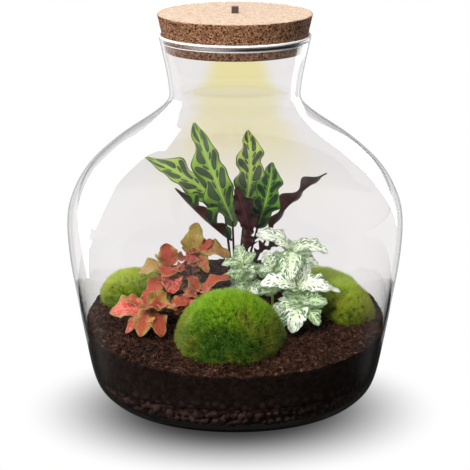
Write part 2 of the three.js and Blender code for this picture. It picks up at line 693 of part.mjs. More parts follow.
const roots = [
  ...RATTLESNAKE_LEAVES.map((leaf) => [leaf.root, RATTLESNAKE_STALK]),
  ...Object.values({ ...RED_STEMS, ...WHITE_STEMS }).map((stem) => [stem.root, NERVE_STALK]),
];
const planting = new THREE.Group();
planting.add(
  piece("drainage_pebbles", drainagePebbles(), finish("#6b4a38", 0.9)),
  piece("soil", soil(Object.values(MOSS_CUSHIONS), roots), finish("#33261d", 0.95)),
);
const moss = finish("#6f9a1c", 0.95);
for (const [name, cushion] of Object.entries(MOSS_CUSHIONS)) {
  planting.add(piece(name, mossCushion(cushion), moss.clone()));
}
const rattlesnake = finish("#6fa23a", 0.45);
RATTLESNAKE_LEAVES.forEach((leaf, i) => {
  planting.add(piece(`rattlesnake_leaf_${i + 1}`, rattlesnakeLeaf(leaf), rattlesnake.clone()));
});
const redNerve = finish("#c4685a", 0.5);
for (const [name, stem] of Object.entries(RED_STEMS)) {
  planting.add(piece(name, nerveStem(stem), redNerve.clone()));
}
const whiteNerve = finish("#d6e6c4", 0.5);
for (const [name, stem] of Object.entries(WHITE_STEMS)) {
  planting.add(piece(name, nerveStem(stem), whiteNerve.clone()));
}
terrarium.add(planting);

export default terrarium;
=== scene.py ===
import bpy
import numpy as np
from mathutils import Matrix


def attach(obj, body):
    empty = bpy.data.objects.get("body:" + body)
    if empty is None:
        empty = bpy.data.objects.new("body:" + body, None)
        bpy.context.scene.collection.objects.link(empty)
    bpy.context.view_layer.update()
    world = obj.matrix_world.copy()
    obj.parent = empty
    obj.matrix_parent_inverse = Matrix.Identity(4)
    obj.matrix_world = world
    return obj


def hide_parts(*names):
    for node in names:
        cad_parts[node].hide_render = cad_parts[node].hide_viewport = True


# A closed bottle garden in a round-bellied glass jar with a cork stopper that holds a small lamp.
# Metres, +Z up, with the origin at the middle of the jar's foot and the front towards -Y.
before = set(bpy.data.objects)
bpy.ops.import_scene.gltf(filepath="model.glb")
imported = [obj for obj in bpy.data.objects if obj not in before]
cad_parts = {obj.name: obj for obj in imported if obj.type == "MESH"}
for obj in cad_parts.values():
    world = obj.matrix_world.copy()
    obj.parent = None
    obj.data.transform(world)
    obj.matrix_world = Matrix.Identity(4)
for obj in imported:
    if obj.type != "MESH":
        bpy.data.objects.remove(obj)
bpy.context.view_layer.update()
MM = 0.001

# ---------------------------------------------------------------------------------------------
# Glass jar
# One blown piece of clear glass: a flat foot, a round belly and a flared neck whose rim was melted
# round in a flame. Its wall is a little uneven, as blown glass is.
# ---------------------------------------------------------------------------------------------

JAR_OUTLINE = MM * np.array([
    [86, 0], [90.5, 1.5], [97.5, 6], [105, 14], [110, 27], [115, 52], [120.5, 82], [126, 115],
    [127.5, 145], [122.5, 165], [110.5, 185], [88.5, 205], [63.5, 222], [50.5, 234],
    [49.8, 246], [53, 264], [57.2, 283],
])
JAR_WALL = 2.2 * MM
JAR_FLOOR = 4 * MM
GLASS_CLEARNESS = (0.972, 0.954, 0.954, 1)
GLASS_IOR = 1.33
GLASS_TINT = (0.76, 0.78, 0.78, 1)
GLASS_DENSITY = 25.0
# The grey of the wall seen edge-on, a painted shade along the jar's outline, where it starts and is full,
# from 0 face-on to 1 edge-on, and the most of it that is mixed in.
EDGE_SHADE_GREY = (0.12, 0.15, 0.15, 1)
EDGE_START = 0.78
EDGE_FULL = 0.93
EDGE_SHARE = 0.5
RIM_TOP = 283 * MM
# How far below the rim's top its lower painted white highlight line and the painted dark shade of the gap
# under the stopper run.
LOWER_HIGHLIGHT = 3.7 * MM
GAP_SHADE = 1.9 * MM


def smooth_line(points, count):
    """Points along a Catmull-Rom curve: each stretch is a cubic whose slope at a known point is half
    the step between that point's neighbours. The end points count twice."""
    known = np.vstack([points[:1], points, points[-1:]])
    along = np.linspace(0, len(points) - 1, count)
    stretch = np.minimum(along.astype(int), len(points) - 2)
    t = (along - stretch)[:, None]
    a, b, c, d = (known[stretch + k] for k in range(4))
    return 0.5 * (2 * b + (c - a) * t + (2 * a - 5 * b + 4 * c - d) * t**2 + (3 * b - a - 3 * c + d) * t**3)


def moved_in(line, distance):
    """A [radius, height] line moved sideways towards the axis, square to its own slope."""
    slope = np.gradient(line, axis=0)
    slope /= np.linalg.norm(slope, axis=1, keepdims=True)
    return line + distance * np.column_stack([-slope[:, 1], slope[:, 0]])


def turned(profile, sides):
    """A grid of points: each [radius, height] of the profile at equal angles round the Z axis."""
    angle = np.linspace(0, 2 * np.pi, sides, endpoint=False)
    radius, height = profile.T
    return np.stack([
        radius[:, None] * np.cos(angle),
        radius[:, None] * np.sin(angle),
        np.broadcast_to(height[:, None], (len(height), sides)),
    ], axis=-1)


def grid_triangles(rows, columns):
    """Two triangles for each cell of a grid of points whose last column joins its first."""
    here = np.arange(rows * columns).reshape(rows, columns)
    right = np.roll(here, -1, axis=1)
    p, q, r, s = here[:-1], right[:-1], right[1:], here[1:]
    return np.concatenate([np.stack([p, q, r], -1), np.stack([p, r, s], -1)]).reshape(-1, 3)


def noise(points, cell, seed):
    """Smooth noise from -1 to 1: seeded numbers on a cubic lattice of the given cell size, each
    point taking its cell's eight corners weighted by smooth steps 3t^2 - 2t^3 of its place in it."""
    lattice = np.random.default_rng(seed).uniform(-1, 1, (24, 24, 24))
    place = points / cell
    low = np.floor(place).astype(int)
    t = place - low
    t = t * t * (3 - 2 * t)
    total = np.zeros(points.shape[:-1])
    for corner in np.ndindex(2, 2, 2):
        weight = np.prod(np.where(corner, t, 1 - t), axis=-1)
        x, y, z = np.moveaxis((low + corner) % 24, -1, 0)
        total += weight * lattice[x, y, z]
    return total


def linked(name, data):
    """A new object with that data, put into the scene."""
    made = bpy.data.objects.new(name, data)
    bpy.context.scene.collection.objects.link(made)
    return made


def add_piece(name, points, triangles, finish, slot, stands_for=(), closed=True, **attributes):
    """A surface as an object that rides on the terrarium.

    In a closed one, points that coincide are welded, triangles that this flattens are dropped, and
    all are turned round if the volume, the sum of a . (b x c) / 6, comes out negative."""
    points = points.reshape(-1, 3)
    if closed:
        places = np.round(points / 1e-7).astype(np.int64)
        _, first, renumbered = np.unique(places, axis=0, return_index=True, return_inverse=True)
        triangles = renumbered.reshape(-1)[triangles]
        a, b, c = triangles.T
        triangles = triangles[(a != b) & (b != c) & (c != a)]
        points = points[first]
        a, b, c = np.moveaxis(points[triangles], 1, 0)
        if np.sum(a * np.cross(b, c)) < 0:
            triangles = triangles[:, ::-1]
        attributes = {key: values.reshape(len(places), -1)[first] for key, values in attributes.items()}
    mesh = bpy.data.meshes.new(name)
    mesh.vertices.add(len(points))
    mesh.vertices.foreach_set("co", points.ravel())
    mesh.loops.add(triangles.size)
    mesh.loops.foreach_set("vertex_index", triangles.ravel())
    mesh.polygons.add(len(triangles))
    mesh.polygons.foreach_set("loop_start", np.arange(0, triangles.size, 3))
    mesh.polygons.foreach_set("use_smooth", np.ones(len(triangles), bool))
    mesh.update(calc_edges=True)
    for key, values in attributes.items():
        mesh.attributes.new(key, "FLOAT_VECTOR", "POINT").data.foreach_set("vector", values.ravel())
    mesh.materials.append(finish)
    piece = linked(name, mesh)
    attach(piece, "root")
    if stands_for:
        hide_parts(*stands_for)
    return piece


def srgb(red, green, blue):
    """A colour of 0 to 255 as the renderer's linear one: ((c + 0.055) / 1.055)^2.4."""
    share = np.array([red, green, blue]) / 255
    return (*((share + 0.055) / 1.055) ** 2.4, 1)


class Link:
    """An output of a finish's node. Each operator adds the Math node of that sum."""

    def __init__(self, finish, socket):
        self.finish = finish
        self.socket = socket

    def output(self, name):
        """Another output of the same node."""
        return Link(self.finish, self.socket.node.outputs[name])

    def math(self, operation, *others):
        """The Math node of that operation, with this output as its first number."""
        return self.finish.node("Math", {"operation": operation}, enumerate([self, *others]))

    def __add__(self, other):
        return self.math("ADD", other)

    __radd__ = __add__

    def __mul__(self, other):
        return self.math("MULTIPLY", other)

    __rmul__ = __mul__

    def __sub__(self, other):
        return self.math("SUBTRACT", other)

    def __rsub__(self, other):
        return self.finish.node("Math", {"operation": "SUBTRACT"}, {0: other, 1: self})

    def __truediv__(self, other):
        return self.math("DIVIDE", other)

    def __pow__(self, other):
        return self.math("POWER", other)

    def __abs__(self):
        return self.math("ABSOLUTE")

    def smooth(self, start, end):
        """A smooth step: 0 up to start and 1 from end on, or the other way where start is higher."""
        limits = {"Value": self, "From Min": start, "From Max": end}
        return self.finish.node("MapRange", {"interpolation_type": "SMOOTHSTEP"}, limits)


class Finish:
    """A material, or a world, whose nodes are added one by one."""

    def __init__(self, name, kind="materials"):
        self.material = getattr(bpy.data, kind).new(name)
        self.material.use_nodes = True
        self.tree = self.material.node_tree
        self.tree.nodes.clear()

    def node(self, kind, settings=(), sockets=(), output=0):
        """Adds a node, makes its settings, then gives each named socket its value or link."""
        made = self.tree.nodes.new("ShaderNode" + kind)
        for name, value in dict(settings).items():
            if name == "stops":
                for i, (position, colour) in enumerate(value):
                    stops = made.color_ramp.elements
                    stop = stops[i] if i < len(stops) else stops.new(position)
                    stop.position = position
                    stop.color = colour
            else:
                setattr(made, name, value)
        for name, value in dict(sockets).items():
            if isinstance(value, Link):
                self.tree.links.new(value.socket, made.inputs[name])
            else:
                made.inputs[name].default_value = value
        return Link(self, made.outputs[output]) if made.outputs else None

    def clouds(self, at, scale, detail=2.0, **more):
        """Cloudy noise from 0 to 1, of `scale` waves a metre and with `detail` finer layers."""
        return self.node("TexNoise", {}, {"Vector": at, "Scale": scale, "Detail": detail, **more})

    def cells(self, at, scale, output=0, **settings):
        """A Voronoi pattern of `scale` cells a metre, or to each 1 of other coordinates: the
        distance from a cell's point, or another output that is asked for."""
        return self.node("TexVoronoi", settings, {"Vector": at, "Scale": scale}, output)

    def carried(self, name):
        """The three numbers that a piece's points carry under that name."""
        return self.axes(self.node("Attribute", {"attribute_name": name}, output="Vector"))

    def mix(self, share, first, second):
        """From the first colour to the second as the share goes from 0 to 1."""
        return self.node("Mix", {"data_type": "RGBA"}, {0: share, 6: first, 7: second}, output=2)

    def place(self, scale=(1, 1, 1)):
        """The place on the object, in metres times a scale along each axis."""
        at = self.node("TexCoord", output="Object")
        return self.node("Mapping", {}, {"Vector": at, "Scale": scale})

    def axes(self, vector):
        """The three numbers of a vector."""
        split = self.node("SeparateXYZ", {}, {0: vector})
        return [split.output(axis) for axis in "XYZ"]

    def surface(self, colour, roughness, relief=None, depth=0.0, **sockets):
        """The shader itself. Relief from 0 to 1 stands `depth` metres high. Gives the material."""
        values = {key.replace("_", " "): value for key, value in sockets.items()}
        if relief is not None:
            values["Normal"] = self.node("Bump", {}, {"Height": relief, "Distance": depth})
        values.update({"Base Color": colour, "Roughness": roughness})
        shader = self.node("BsdfPrincipled", {}, values)
        self.node("OutputMaterial", {}, {"Surface": shader})
        return self.material


def jar_glass():
    """Clear at a right angle, and mixed with a painted grey shade where the wall is seen edge-on. The melted
    rim has two painted white highlight lines, with the painted dark shade of the gap below the stopper
    between them, fading out towards the left."""
    glass = Finish("jar_glass")
    clear = {"Base Color": GLASS_CLEARNESS, "Roughness": 0.0, "IOR": GLASS_IOR}
    wall = glass.node("BsdfPrincipled", {}, {**clear, "Transmission Weight": 1.0})
    # Painted shade: a grey mixed in where the wall is seen edge-on, darkening the outline.
    edge = glass.node("LayerWeight", {}, {"Blend": 0.5}, "Facing")
    grey = {"Base Color": EDGE_SHADE_GREY, "Roughness": 1.0, "Specular IOR Level": 0.0}
    grey = glass.node("BsdfPrincipled", {}, grey)
    grey_share = edge.smooth(EDGE_START, EDGE_FULL) * EDGE_SHARE
    wall = glass.node("MixShader", {}, {0: grey_share, 1: wall, 2: grey})
    x, _, height = glass.axes(glass.place())
    below = RIM_TOP - height
    # Painted highlights and shade: a white line at the rim's top, a lower white line, and the dark shade of
    # the gap under the stopper between them.
    lower_highlight_line = abs(below - LOWER_HIGHLIGHT).smooth(0.6 * MM, 0.2 * MM)
    bright = below.smooth(0.4 * MM, -0.2 * MM) + lower_highlight_line * 0.7
    shade = abs(below - GAP_SHADE).smooth(1.3 * MM, 0.8 * MM) * x.smooth(-0.045, 0.01) * 0.97
    tone = glass.mix(shade, (0.9, 0.92, 0.92, 1), (0.006, 0.005, 0.004, 1))
    painted_rim_light = {"Base Color": tone, "Roughness": 0.35, "Specular IOR Level": 0.1}
    rim = glass.node("BsdfPrincipled", {}, painted_rim_light)
    both = glass.node("MixShader", {}, {0: bright.math("MAXIMUM", shade), 1: wall, 2: rim})
    depth = glass.node("VolumeAbsorption", {}, {"Color": GLASS_TINT, "Density": GLASS_DENSITY})
    glass.node("OutputMaterial", {}, {"Surface": both, "Volume": depth})
    return glass.material


def evened(line, width):
    """Each point becomes the mean of its neighbours, weighted by one hump of a cosine wave over the
    given number of points, so that the curve, and what it mirrors, bends without a jerk."""
    weights = np.hanning(width + 2)[1:-1]
    padded = np.pad(line, ((width // 2, width // 2), (0, 0)), mode="reflect", reflect_type="odd")
    return np.column_stack([np.convolve(axis, weights / weights.sum(), "valid") for axis in padded.T])


jar_line = evened(smooth_line(JAR_OUTLINE, 180), 9)


def jar_points():
    """The outside from the foot's middle to the rim, over the half round of the rim, and down the
    inside, which wavers by a fiftieth of a millimetre, to the floor's middle."""
    inside = moved_in(jar_line, JAR_WALL)
    inside = inside[inside[:, 1] > JAR_FLOOR + 3 * MM][::-1]
    middle = (jar_line[-1] + inside[0]) / 2
    spread = jar_line[-1] - middle
    turn = np.radians([30, 60, 90, 120, 150])[:, None]
    over = np.array([-spread[1], spread[0]])
    rim = middle + np.cos(turn) * spread + np.sin(turn) * over
    corner = inside[-1] - [[2 * MM, 2 * MM]]
    floor = np.array([[corner[0, 0] - 6 * MM, JAR_FLOOR], [40 * MM, JAR_FLOOR], [0, JAR_FLOOR]])
    profile = np.vstack([[[0, 0], [60 * MM, 0]], jar_line, rim, inside, corner, floor])
    points = turned(profile, 240)
    first_inside = 2 + len(jar_line) + len(rim)
    inner = points[first_inside:-3]
    waver = 0.02 * MM * noise(inner, 28 * MM, 3)
    inner[..., :2] *= 1 + waver[..., None] / JAR_OUTLINE[:, 0].max()
    return points


jar_grid = jar_points()
jar = add_piece(
    "clear_jar", jar_grid, grid_triangles(*jar_grid.shape[:2]), jar_glass(), "glass", ["glass_jar"]
)
jar.visible_shadow = False

# ---------------------------------------------------------------------------------------------
# Cork stopper
# Granules of cork pressed into a tapered disc. The top is sanded and pale, the side is open and
# darker, and granules have broken out along the edges. A recess below takes the lamp.
# ---------------------------------------------------------------------------------------------

LID_BOTTOM = 272 * MM
LID_HEIGHT = 28 * MM
LID_RADIUS_BOTTOM = 52.1 * MM
LID_RADIUS_TOP = 58.2 * MM
LID_CHAMFER = 1.0 * MM
RECESS_RADIUS = 22.3 * MM
RECESS_DEPTH = 15 * MM
GRANULE = 1.1 * MM


def stopper_points():
    """The recess, the underside, the tapered side and the top, with rows closest on the side and by
    the top's edge. On the side the points waver with the granule noise, and there and along the
    top's edge they sink in where the noise for pits is low."""
    top = LID_BOTTOM + LID_HEIGHT
    corners = np.array([
        [0, LID_BOTTOM + RECESS_DEPTH],
        [RECESS_RADIUS, LID_BOTTOM + RECESS_DEPTH],
        [RECESS_RADIUS, LID_BOTTOM],
        [LID_RADIUS_BOTTOM - LID_CHAMFER, LID_BOTTOM],
        [LID_RADIUS_BOTTOM, LID_BOTTOM + LID_CHAMFER],
        [LID_RADIUS_TOP, top - 0.4 * LID_CHAMFER],
        [LID_RADIUS_TOP - 0.6 * LID_CHAMFER, top],
        [LID_RADIUS_TOP - 8 * MM, top],
        [0, top],
    ])
    steps = [3, 6, 10, 2, 30, 2, 9, 16]
    stretches = [
        a + (b - a) * np.linspace(0, 1, count, endpoint=False)[:, None]
        for a, b, count in zip(corners[:-1], corners[1:], steps)
    ]
    points = turned(np.vstack([*stretches, corners[-1:]]), 360)
    from_edge = LID_RADIUS_TOP - np.linalg.norm(points[..., :2], axis=-1)
    on_side = np.clip(1 - (from_edge - 6 * MM) / (2 * MM), 0, 1)
    depth_below_top = top - points[..., 2]
    at_edge = np.exp(-np.abs(depth_below_top) / (1.2 * MM)) * np.exp(-np.maximum(from_edge, 0) / (1.6 * MM))
    grain = noise(points, GRANULE, 5) + 0.6 * noise(points, 0.6 * GRANULE, 6)
    pits = np.clip(-noise(points, 1.3 * GRANULE, 7) - 0.15, 0, 1)
    sunk = on_side * (0.18 * MM * grain - 0.5 * MM * pits) * np.where(depth_below_top > 0.1 * MM, 1, 0)
    sunk -= at_edge * 2.4 * MM * pits
    points[..., :2] *= 1 + sunk[..., None] / LID_RADIUS_TOP
    points[..., 2] -= at_edge * 1.6 * MM * pits
    return points


def pressed_cork():
    """Each granule, a cell of a Voronoi pattern, has its own brown. The sanded top is paler, and the dark
    glue and holes between the granules show most on the side. Down in the neck, below the rim's top, it is
    darker: painted shade."""
    cork = Finish("pressed_cork")
    at = cork.place()
    _, _, height = cork.axes(at)
    top = LID_BOTTOM + LID_HEIGHT
    side = height.smooth(top - 0.05 * MM, top - 0.7 * MM)
    granule = cork.cells(at, 1 / GRANULE, "Color")
    tone, fleck, _ = cork.axes(granule)
    gap = cork.cells(at, 1 / GRANULE, feature="DISTANCE_TO_EDGE")
    fine = cork.clouds(at, 2600.0, 3.0)
    cloud = cork.clouds(at, 160.0, 4.0)
    sanded = cork.mix(tone, srgb(212, 194, 174), srgb(190, 163, 139))
    sanded = cork.mix(fleck.smooth(0.82, 0.95) * 0.6, sanded, srgb(148, 112, 88))
    open_side = cork.node("ValToRGB", {"stops": [
        (0.0, srgb(88, 48, 32)), (1.0, srgb(250, 206, 160)),
        (0.3, srgb(164, 110, 78)), (0.65, srgb(220, 162, 118)),
    ]}, {0: tone * 0.75 + fine * 0.8 - 0.27})
    open_side = cork.mix(fleck.smooth(0.84, 0.88), open_side, srgb(70, 40, 28))
    colour = cork.mix(side, sanded, open_side)
    seam = gap.smooth(0.12, 0.0)
    colour = cork.mix(seam * (side * 0.5 + 0.1), colour, srgb(62, 38, 28))
    colour = cork.mix(cloud.smooth(0.35, 0.7) * 0.2, colour, srgb(150, 98, 72))
    # Painted shade: the stopper is darker down in the neck.
    neck_shade = height.smooth(RIM_TOP + 1 * MM, RIM_TOP - 1 * MM)
    colour = cork.mix(neck_shade * 0.42, colour, srgb(56, 30, 20))
    relief = gap.smooth(0.0, 0.25) * (side * 0.8 + 0.2) + fine * 0.4
    return cork.surface(colour, 0.9, relief, 0.6 * MM, Specular_IOR_Level=0.15)


stopper_grid = stopper_points()
add_piece(
    "cork_stopper", stopper_grid, grid_triangles(*stopper_grid.shape[:2]), pressed_cork(), "cork",
    ["cork_lid"],
)

# ---------------------------------------------------------------------------------------------
# Lamp in the stopper
# A moulded cup with a flange, a white circuit board with its LEDs and switch, a flat cell, a milky
# cover that glows, and the dark square push button that comes out on top of the stopper.
# ---------------------------------------------------------------------------------------------

LAMP_GLOW = (1.0, 0.86, 0.36, 1)


def moulded_plastic(name, colour, roughness, mottle):
    """Plain plastic with the faint orange-peel grain of a mould."""
    plastic = Finish(name)
    at = plastic.place()
    grain = plastic.clouds(at, 1500.0, 4.0)
    shade = plastic.clouds(at, 90.0, 3.0)
    darker = (*(0.75 * np.array(colour[:3])), 1)
    tone = plastic.mix(shade * mottle, colour, darker)
    return plastic.surface(tone, shade * 0.2 + (roughness - 0.1), grain, 0.05 * MM)


def circuit_board():
    """White solder mask with pale gold tracks, which run along the edges of square cells."""
    board = Finish("circuit_board")
    at = board.place((1, 1, 0))
    far = board.cells(at, 260.0, feature="F2", distance="CHEBYCHEV")
    track = far.smooth(0.62, 0.66) * far.smooth(0.76, 0.72)
    colour = board.mix(track, srgb(236, 236, 228), srgb(196, 168, 92))
    return board.surface(colour, 0.42, track, 0.04 * MM)


def cell_wrap():
    """The crimped silver foil of a flat cell, with the seam of the foil across it."""
    foil = Finish("cell_foil")
    at = foil.place()
    crease = foil.clouds(at, 420.0, 6.0, Distortion=1.2)
    _, y, _ = foil.axes(at)
    seam = abs(y - 0.011).smooth(0.0006, 0.0003)
    colour = foil.mix(seam, srgb(196, 200, 206), srgb(120, 124, 130))
    return foil.surface(colour, crease * 0.3 + 0.2, crease, 0.1 * MM, Metallic=0.9)


def glowing_cover():
    """Milky plastic lit from behind, brightest in front of the ring of LEDs."""
    cover = Finish("glowing_cover")
    at = cover.place((1, 1, 0))
    ring = cover.node("VectorMath", {"operation": "LENGTH"}, {0: at}, "Value")
    bright = abs(ring - 0.012).smooth(0.012, 0.0)
    glow = cover.mix(bright, LAMP_GLOW, (1.0, 0.93, 0.6, 1))
    grain = cover.clouds(at, 900.0)
    return cover.surface(
        srgb(250, 245, 220), grain * 0.2 + 0.25, grain, 0.04 * MM, Emission_Color=glow, Emission_Strength=1.6
    )


lamp_finishes = {
    "lamp_housing": moulded_plastic("cup_plastic", srgb(222, 219, 211), 0.5, 0.3),
    "lamp_board": circuit_board(),
    "lamp_battery": cell_wrap(),
    "lamp_diffuser": glowing_cover(),
    "lamp_button": moulded_plastic("button_plastic", srgb(84, 66, 58), 0.55, 0.6),
}
for node, finish in lamp_finishes.items():
    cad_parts[node].data.materials.clear()
    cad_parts[node].data.materials.append(finish)

# ---------------------------------------------------------------------------------------------
# Drainage pebbles
# Fired clay pebbles of 4 to 9 mm, poured loose on the jar's floor. What shows is the outermost
# layer, which lies against the glass, and only that is shaped.
# ---------------------------------------------------------------------------------------------

PEBBLE_BOTTOM = 4.5 * MM
PEBBLE_TOP = 24 * MM
# From one pebble to the next, round the wall and upwards.
PEBBLE_STEP = 6.4 * MM
PEBBLE_RISE = 5.6 * MM
PEBBLE_DEPTH = 3.2 * MM


def radius_inside(height, clearance):
    """The radius of the jar's inside at a height, less a clearance, read along its inner line."""
    line = moved_in(jar_line, JAR_WALL + clearance)
    return np.interp(height, line[:, 1], line[:, 0])


def pebble_grid():
    """The side of the bed. Seeds lie on a jittered grid of the unrolled wall. Each point stands out
    by the most that any pebble has there, sqrt(1 - (d / r)^2) at a distance d from its seed, where
    r is its radius."""
    rng = np.random.default_rng(11)
    round_count, row_count = 104, 4
    ring = np.arange(round_count)[None, :] + 0.5 * (np.arange(row_count)[:, None] % 2)
    seeds = np.stack([
        (ring + rng.uniform(-0.36, 0.36, ring.shape)) * PEBBLE_STEP,
        (np.arange(row_count)[:, None] + 0.4 + rng.uniform(-0.34, 0.34, ring.shape)) * PEBBLE_RISE,
    ], axis=-1).reshape(-1, 2)
    radius = rng.uniform(1.8, 4.4, len(seeds)) * MM
    around = round_count * PEBBLE_STEP
    columns, rows = 900, 44
    along = np.linspace(0, around, columns, endpoint=False)
    up = np.linspace(0, PEBBLE_TOP - PEBBLE_BOTTOM, rows)
    step = np.abs(along[:, None] - seeds[:, 0])
    step = np.minimum(step, around - step)
    stand = np.zeros((rows, columns))
    for row, height in enumerate(up):
        distance = np.hypot(step, height - seeds[:, 1]) / radius
        stand[row] = np.sqrt(np.clip(1 - distance**2, 0, 1)).max(axis=1)
    height = PEBBLE_BOTTOM + up
    floor_round = 6 * MM * np.exp(-up / (2 * MM))
    edge = radius_inside(height, 0.7 * MM) - floor_round
    outer = edge[:, None] - PEBBLE_DEPTH * (1 - stand)
    angle = 2 * np.pi * along / around
    level = np.broadcast_to(height[:, None], outer.shape)
    points = np.stack([outer * np.cos(angle), outer * np.sin(angle), level], -1)
    points += 0.15 * MM * noise(points, 1.5 * MM, 12)[..., None]
    below = points[:1] * [0, 0, 1]
    above = points[-1:] * [0, 0, 1]
    below[..., 2] = PEBBLE_BOTTOM
    above[..., 2] = PEBBLE_TOP
    return np.concatenate([below, points, above])


def fired_clay():
    """Dusty red-brown clay in patches about as large as a pebble, the cells of a Voronoi pattern,
    each with its own depth of brown. They don't follow the raised pebbles."""
    clay = Finish("fired_clay")
    at = clay.place()
    pebble = clay.cells(at, 150.0, "Color")
    tone, _, _ = clay.axes(pebble)
    dust = clay.clouds(at, 700.0, 6.0)
    colour = clay.mix(tone, srgb(34, 24, 22), srgb(78, 58, 52))
    colour = clay.mix(dust.smooth(0.5, 0.75) * 0.4, colour, srgb(92, 74, 68))
    return clay.surface(colour, 0.9, dust, 0.4 * MM, Specular_IOR_Level=0.1)


bed_grid = pebble_grid()
add_piece(
    "clay_pebbles", bed_grid, grid_triangles(*bed_grid.shape[:2]), fired_clay(), "pebbles",
    ["drainage_pebbles"],
)

# ---------------------------------------------------------------------------------------------
# Potting soil
# Dark damp peat with crumbs and reddish fibres, pressed against the glass at the side and heaped
# a little towards the back. It is one bed with loose crumbs and fibres lying on it.
# ---------------------------------------------------------------------------------------------

SOIL_BOTTOM = 24.3 * MM
SOIL_HEIGHT = 65 * MM
SOIL_SLOPE = 0.125
SOIL_EDGE = 110 * MM


def soil_plane(y):
    """The height of the soil without its humps: a plane that rises towards the back."""
    return SOIL_HEIGHT + SOIL_SLOPE * y


def soil_height(x, y):
    """A plane that rises to the back, with low humps: two sine waves across it."""
    x, y = x / MM, y / MM
    humps = 1.6 * np.sin(x / 9 + 1) * np.cos(y / 11) + 0.9 * np.sin(x / 4.3 + y / 5.1)
    return soil_plane(y * MM) + MM * humps


def soil_grid():
    """The side, straight up along the glass from the pebbles, then rings inwards over the top. The
    top is roughened by noise in cells of 7, 2.6 and 1.3 mm."""
    angle = np.linspace(0, 2 * np.pi, 420, endpoint=False)
    across = np.array([np.cos(angle), np.sin(angle)])
    ring = 0.115 * np.column_stack([*across, 0 * angle])
    crumbly = 0.9 * noise(ring, 3.4 * MM, 25) + 0.7 * noise(ring, 1.3 * MM, 26)
    edge_height = soil_plane(SOIL_EDGE * across[1]) - 0.4 * MM + MM * crumbly
    share = np.linspace(0, 1, 26)[:, None]
    height = SOIL_BOTTOM + share * (edge_height - SOIL_BOTTOM)
    radius = radius_inside(height, 0.35 * MM)
    side = np.stack([radius * across[0], radius * across[1], height], -1)
    inwards = np.concatenate([np.linspace(0.995, 0.55, 74), np.linspace(0.54, 0, 40)])[:, None]
    x, y = inwards * side[-1, :, 0], inwards * side[-1, :, 1]
    top = np.stack([x, y, soil_height(x, y)], -1)
    flat = top * [1, 1, 0]
    rough = noise(flat, 7 * MM, 21) + 0.75 * noise(flat, 2.6 * MM, 22) + 0.5 * noise(flat, 1.3 * MM, 23)
    top[..., 2] += 1.3 * MM * rough - 0.8 * MM
    foot = side[:1] * [0, 0, 1]
    return np.concatenate([foot, side, top])


def damp_peat():
    """Near-black peat with red-brown crumbs and a few pale fibres. At the side, against the glass, it is
    darker still, partly from the damp and partly painted shade, its crumbs hardly show, and lowest down pale
    spots stand for the topmost pebbles."""
    peat = Finish("damp_peat")
    at = peat.place()
    crumb = peat.cells(at, 520.0, "Color")
    tone, fleck, _ = peat.axes(crumb)
    clod = peat.clouds(at, 240.0, 8.0, Roughness=0.7)
    wet = peat.clouds(at, 28.0, 3.0)
    colour = peat.mix(tone * clod.smooth(0.35, 0.7), srgb(26, 17, 13), srgb(100, 66, 48))
    colour = peat.mix(fleck.smooth(0.94, 0.98), colour, srgb(114, 82, 62))
    colour = peat.mix(wet.smooth(0.4, 0.65) * 0.5, colour, srgb(20, 13, 10))
    _, _, facing_up = peat.axes(peat.node("NewGeometry", output="True Normal"))
    _, _, height = peat.axes(at)
    pebble = peat.cells(at, 165.0)
    sunk_in = (height + (clod - 0.5) * 0.03).smooth(0.035, 0.026)
    # The side against the glass is darker: partly damp peat and partly painted shade.
    shaded_side = peat.mix(clod.smooth(0.35, 0.75), srgb(20, 15, 12), srgb(48, 36, 31))
    shaded_side = peat.mix(sunk_in * pebble.smooth(0.5, 0.25) * 0.7, shaded_side, srgb(64, 49, 44))
    colour = peat.mix(facing_up.smooth(0.05, 0.4), shaded_side, colour)
    return peat.surface(colour, 0.95, clod + tone * 0.4, 1.4 * MM, Specular_IOR_Level=0.05)


peat = damp_peat()
bed = soil_grid()
bed_triangles = grid_triangles(*bed.shape[:2])
add_piece("potting_soil", bed, bed_triangles, peat, "soil", ["soil"])


def scattered(points, triangles, count, rng):
    """Random places spread evenly over a surface, with the surface's direction at each: a triangle
    drawn by its area, and a place in it from two numbers folded back where they sum past 1."""
    a, b, c = np.moveaxis(points[triangles], 1, 0)
    normal = np.cross(b - a, c - a)
    area = np.linalg.norm(normal, axis=1)
    drawn = rng.choice(len(area), count, p=area / area.sum())
    u, v = rng.random((2, count, 1))
    fold = u + v > 1
    u, v = np.where(fold, 1 - u, u), np.where(fold, 1 - v, v)
    place = a[drawn] + u * (b - a)[drawn] + v * (c - a)[drawn]
    return place, normal[drawn] / area[drawn, None]


def square_to(direction, rng):
    """Two directions square to each given one and to each other, turned at random round it."""
    side = np.cross(direction, rng.normal(size=direction.shape))
    side /= np.linalg.norm(side, axis=1, keepdims=True)
    return side, np.cross(direction, side)


def copies(shape, triangles, places, first, second, third, sizes):
    """One small shape at many places: each point is place + size * (x first + y second + z third)."""
    turned_shape = sum(
        shape[None, :, k, None] * axis[:, None, :] for k, axis in enumerate([first, second, third])
    )
    points = places[:, None] + sizes[:, None] * turned_shape
    offsets = len(shape) * np.arange(len(places))
    return points.reshape(-1, 3), (triangles[None] + offsets[:, None, None]).reshape(-1, 3)


# An eight-sided lump and a bent three-sided sliver, both about 1 across.
LUMP = 0.5 * np.array([[1, 0, 0.1], [0, 0.8, 0], [-1, 0, 0], [0, -0.8, 0.1], [0.1, 0, 0.8], [0, 0.1, -0.7]])
LUMP_TRIANGLES = np.array([
    [0, 1, 4], [1, 2, 4], [2, 3, 4], [3, 0, 4], [1, 0, 5], [2, 1, 5], [3, 2, 5], [0, 3, 5],
])
SLIVER = np.array([
    [-0.5, 0, 0], [0, 0.03, 0.13], [0, -0.03, 0.13], [0, 0, 0.07], [0.5, 0.06, -0.02],
])
SLIVER_TRIANGLES = np.array([[0, 1, 2], [0, 3, 1], [0, 2, 3], [4, 2, 1], [4, 1, 3], [4, 3, 2]])


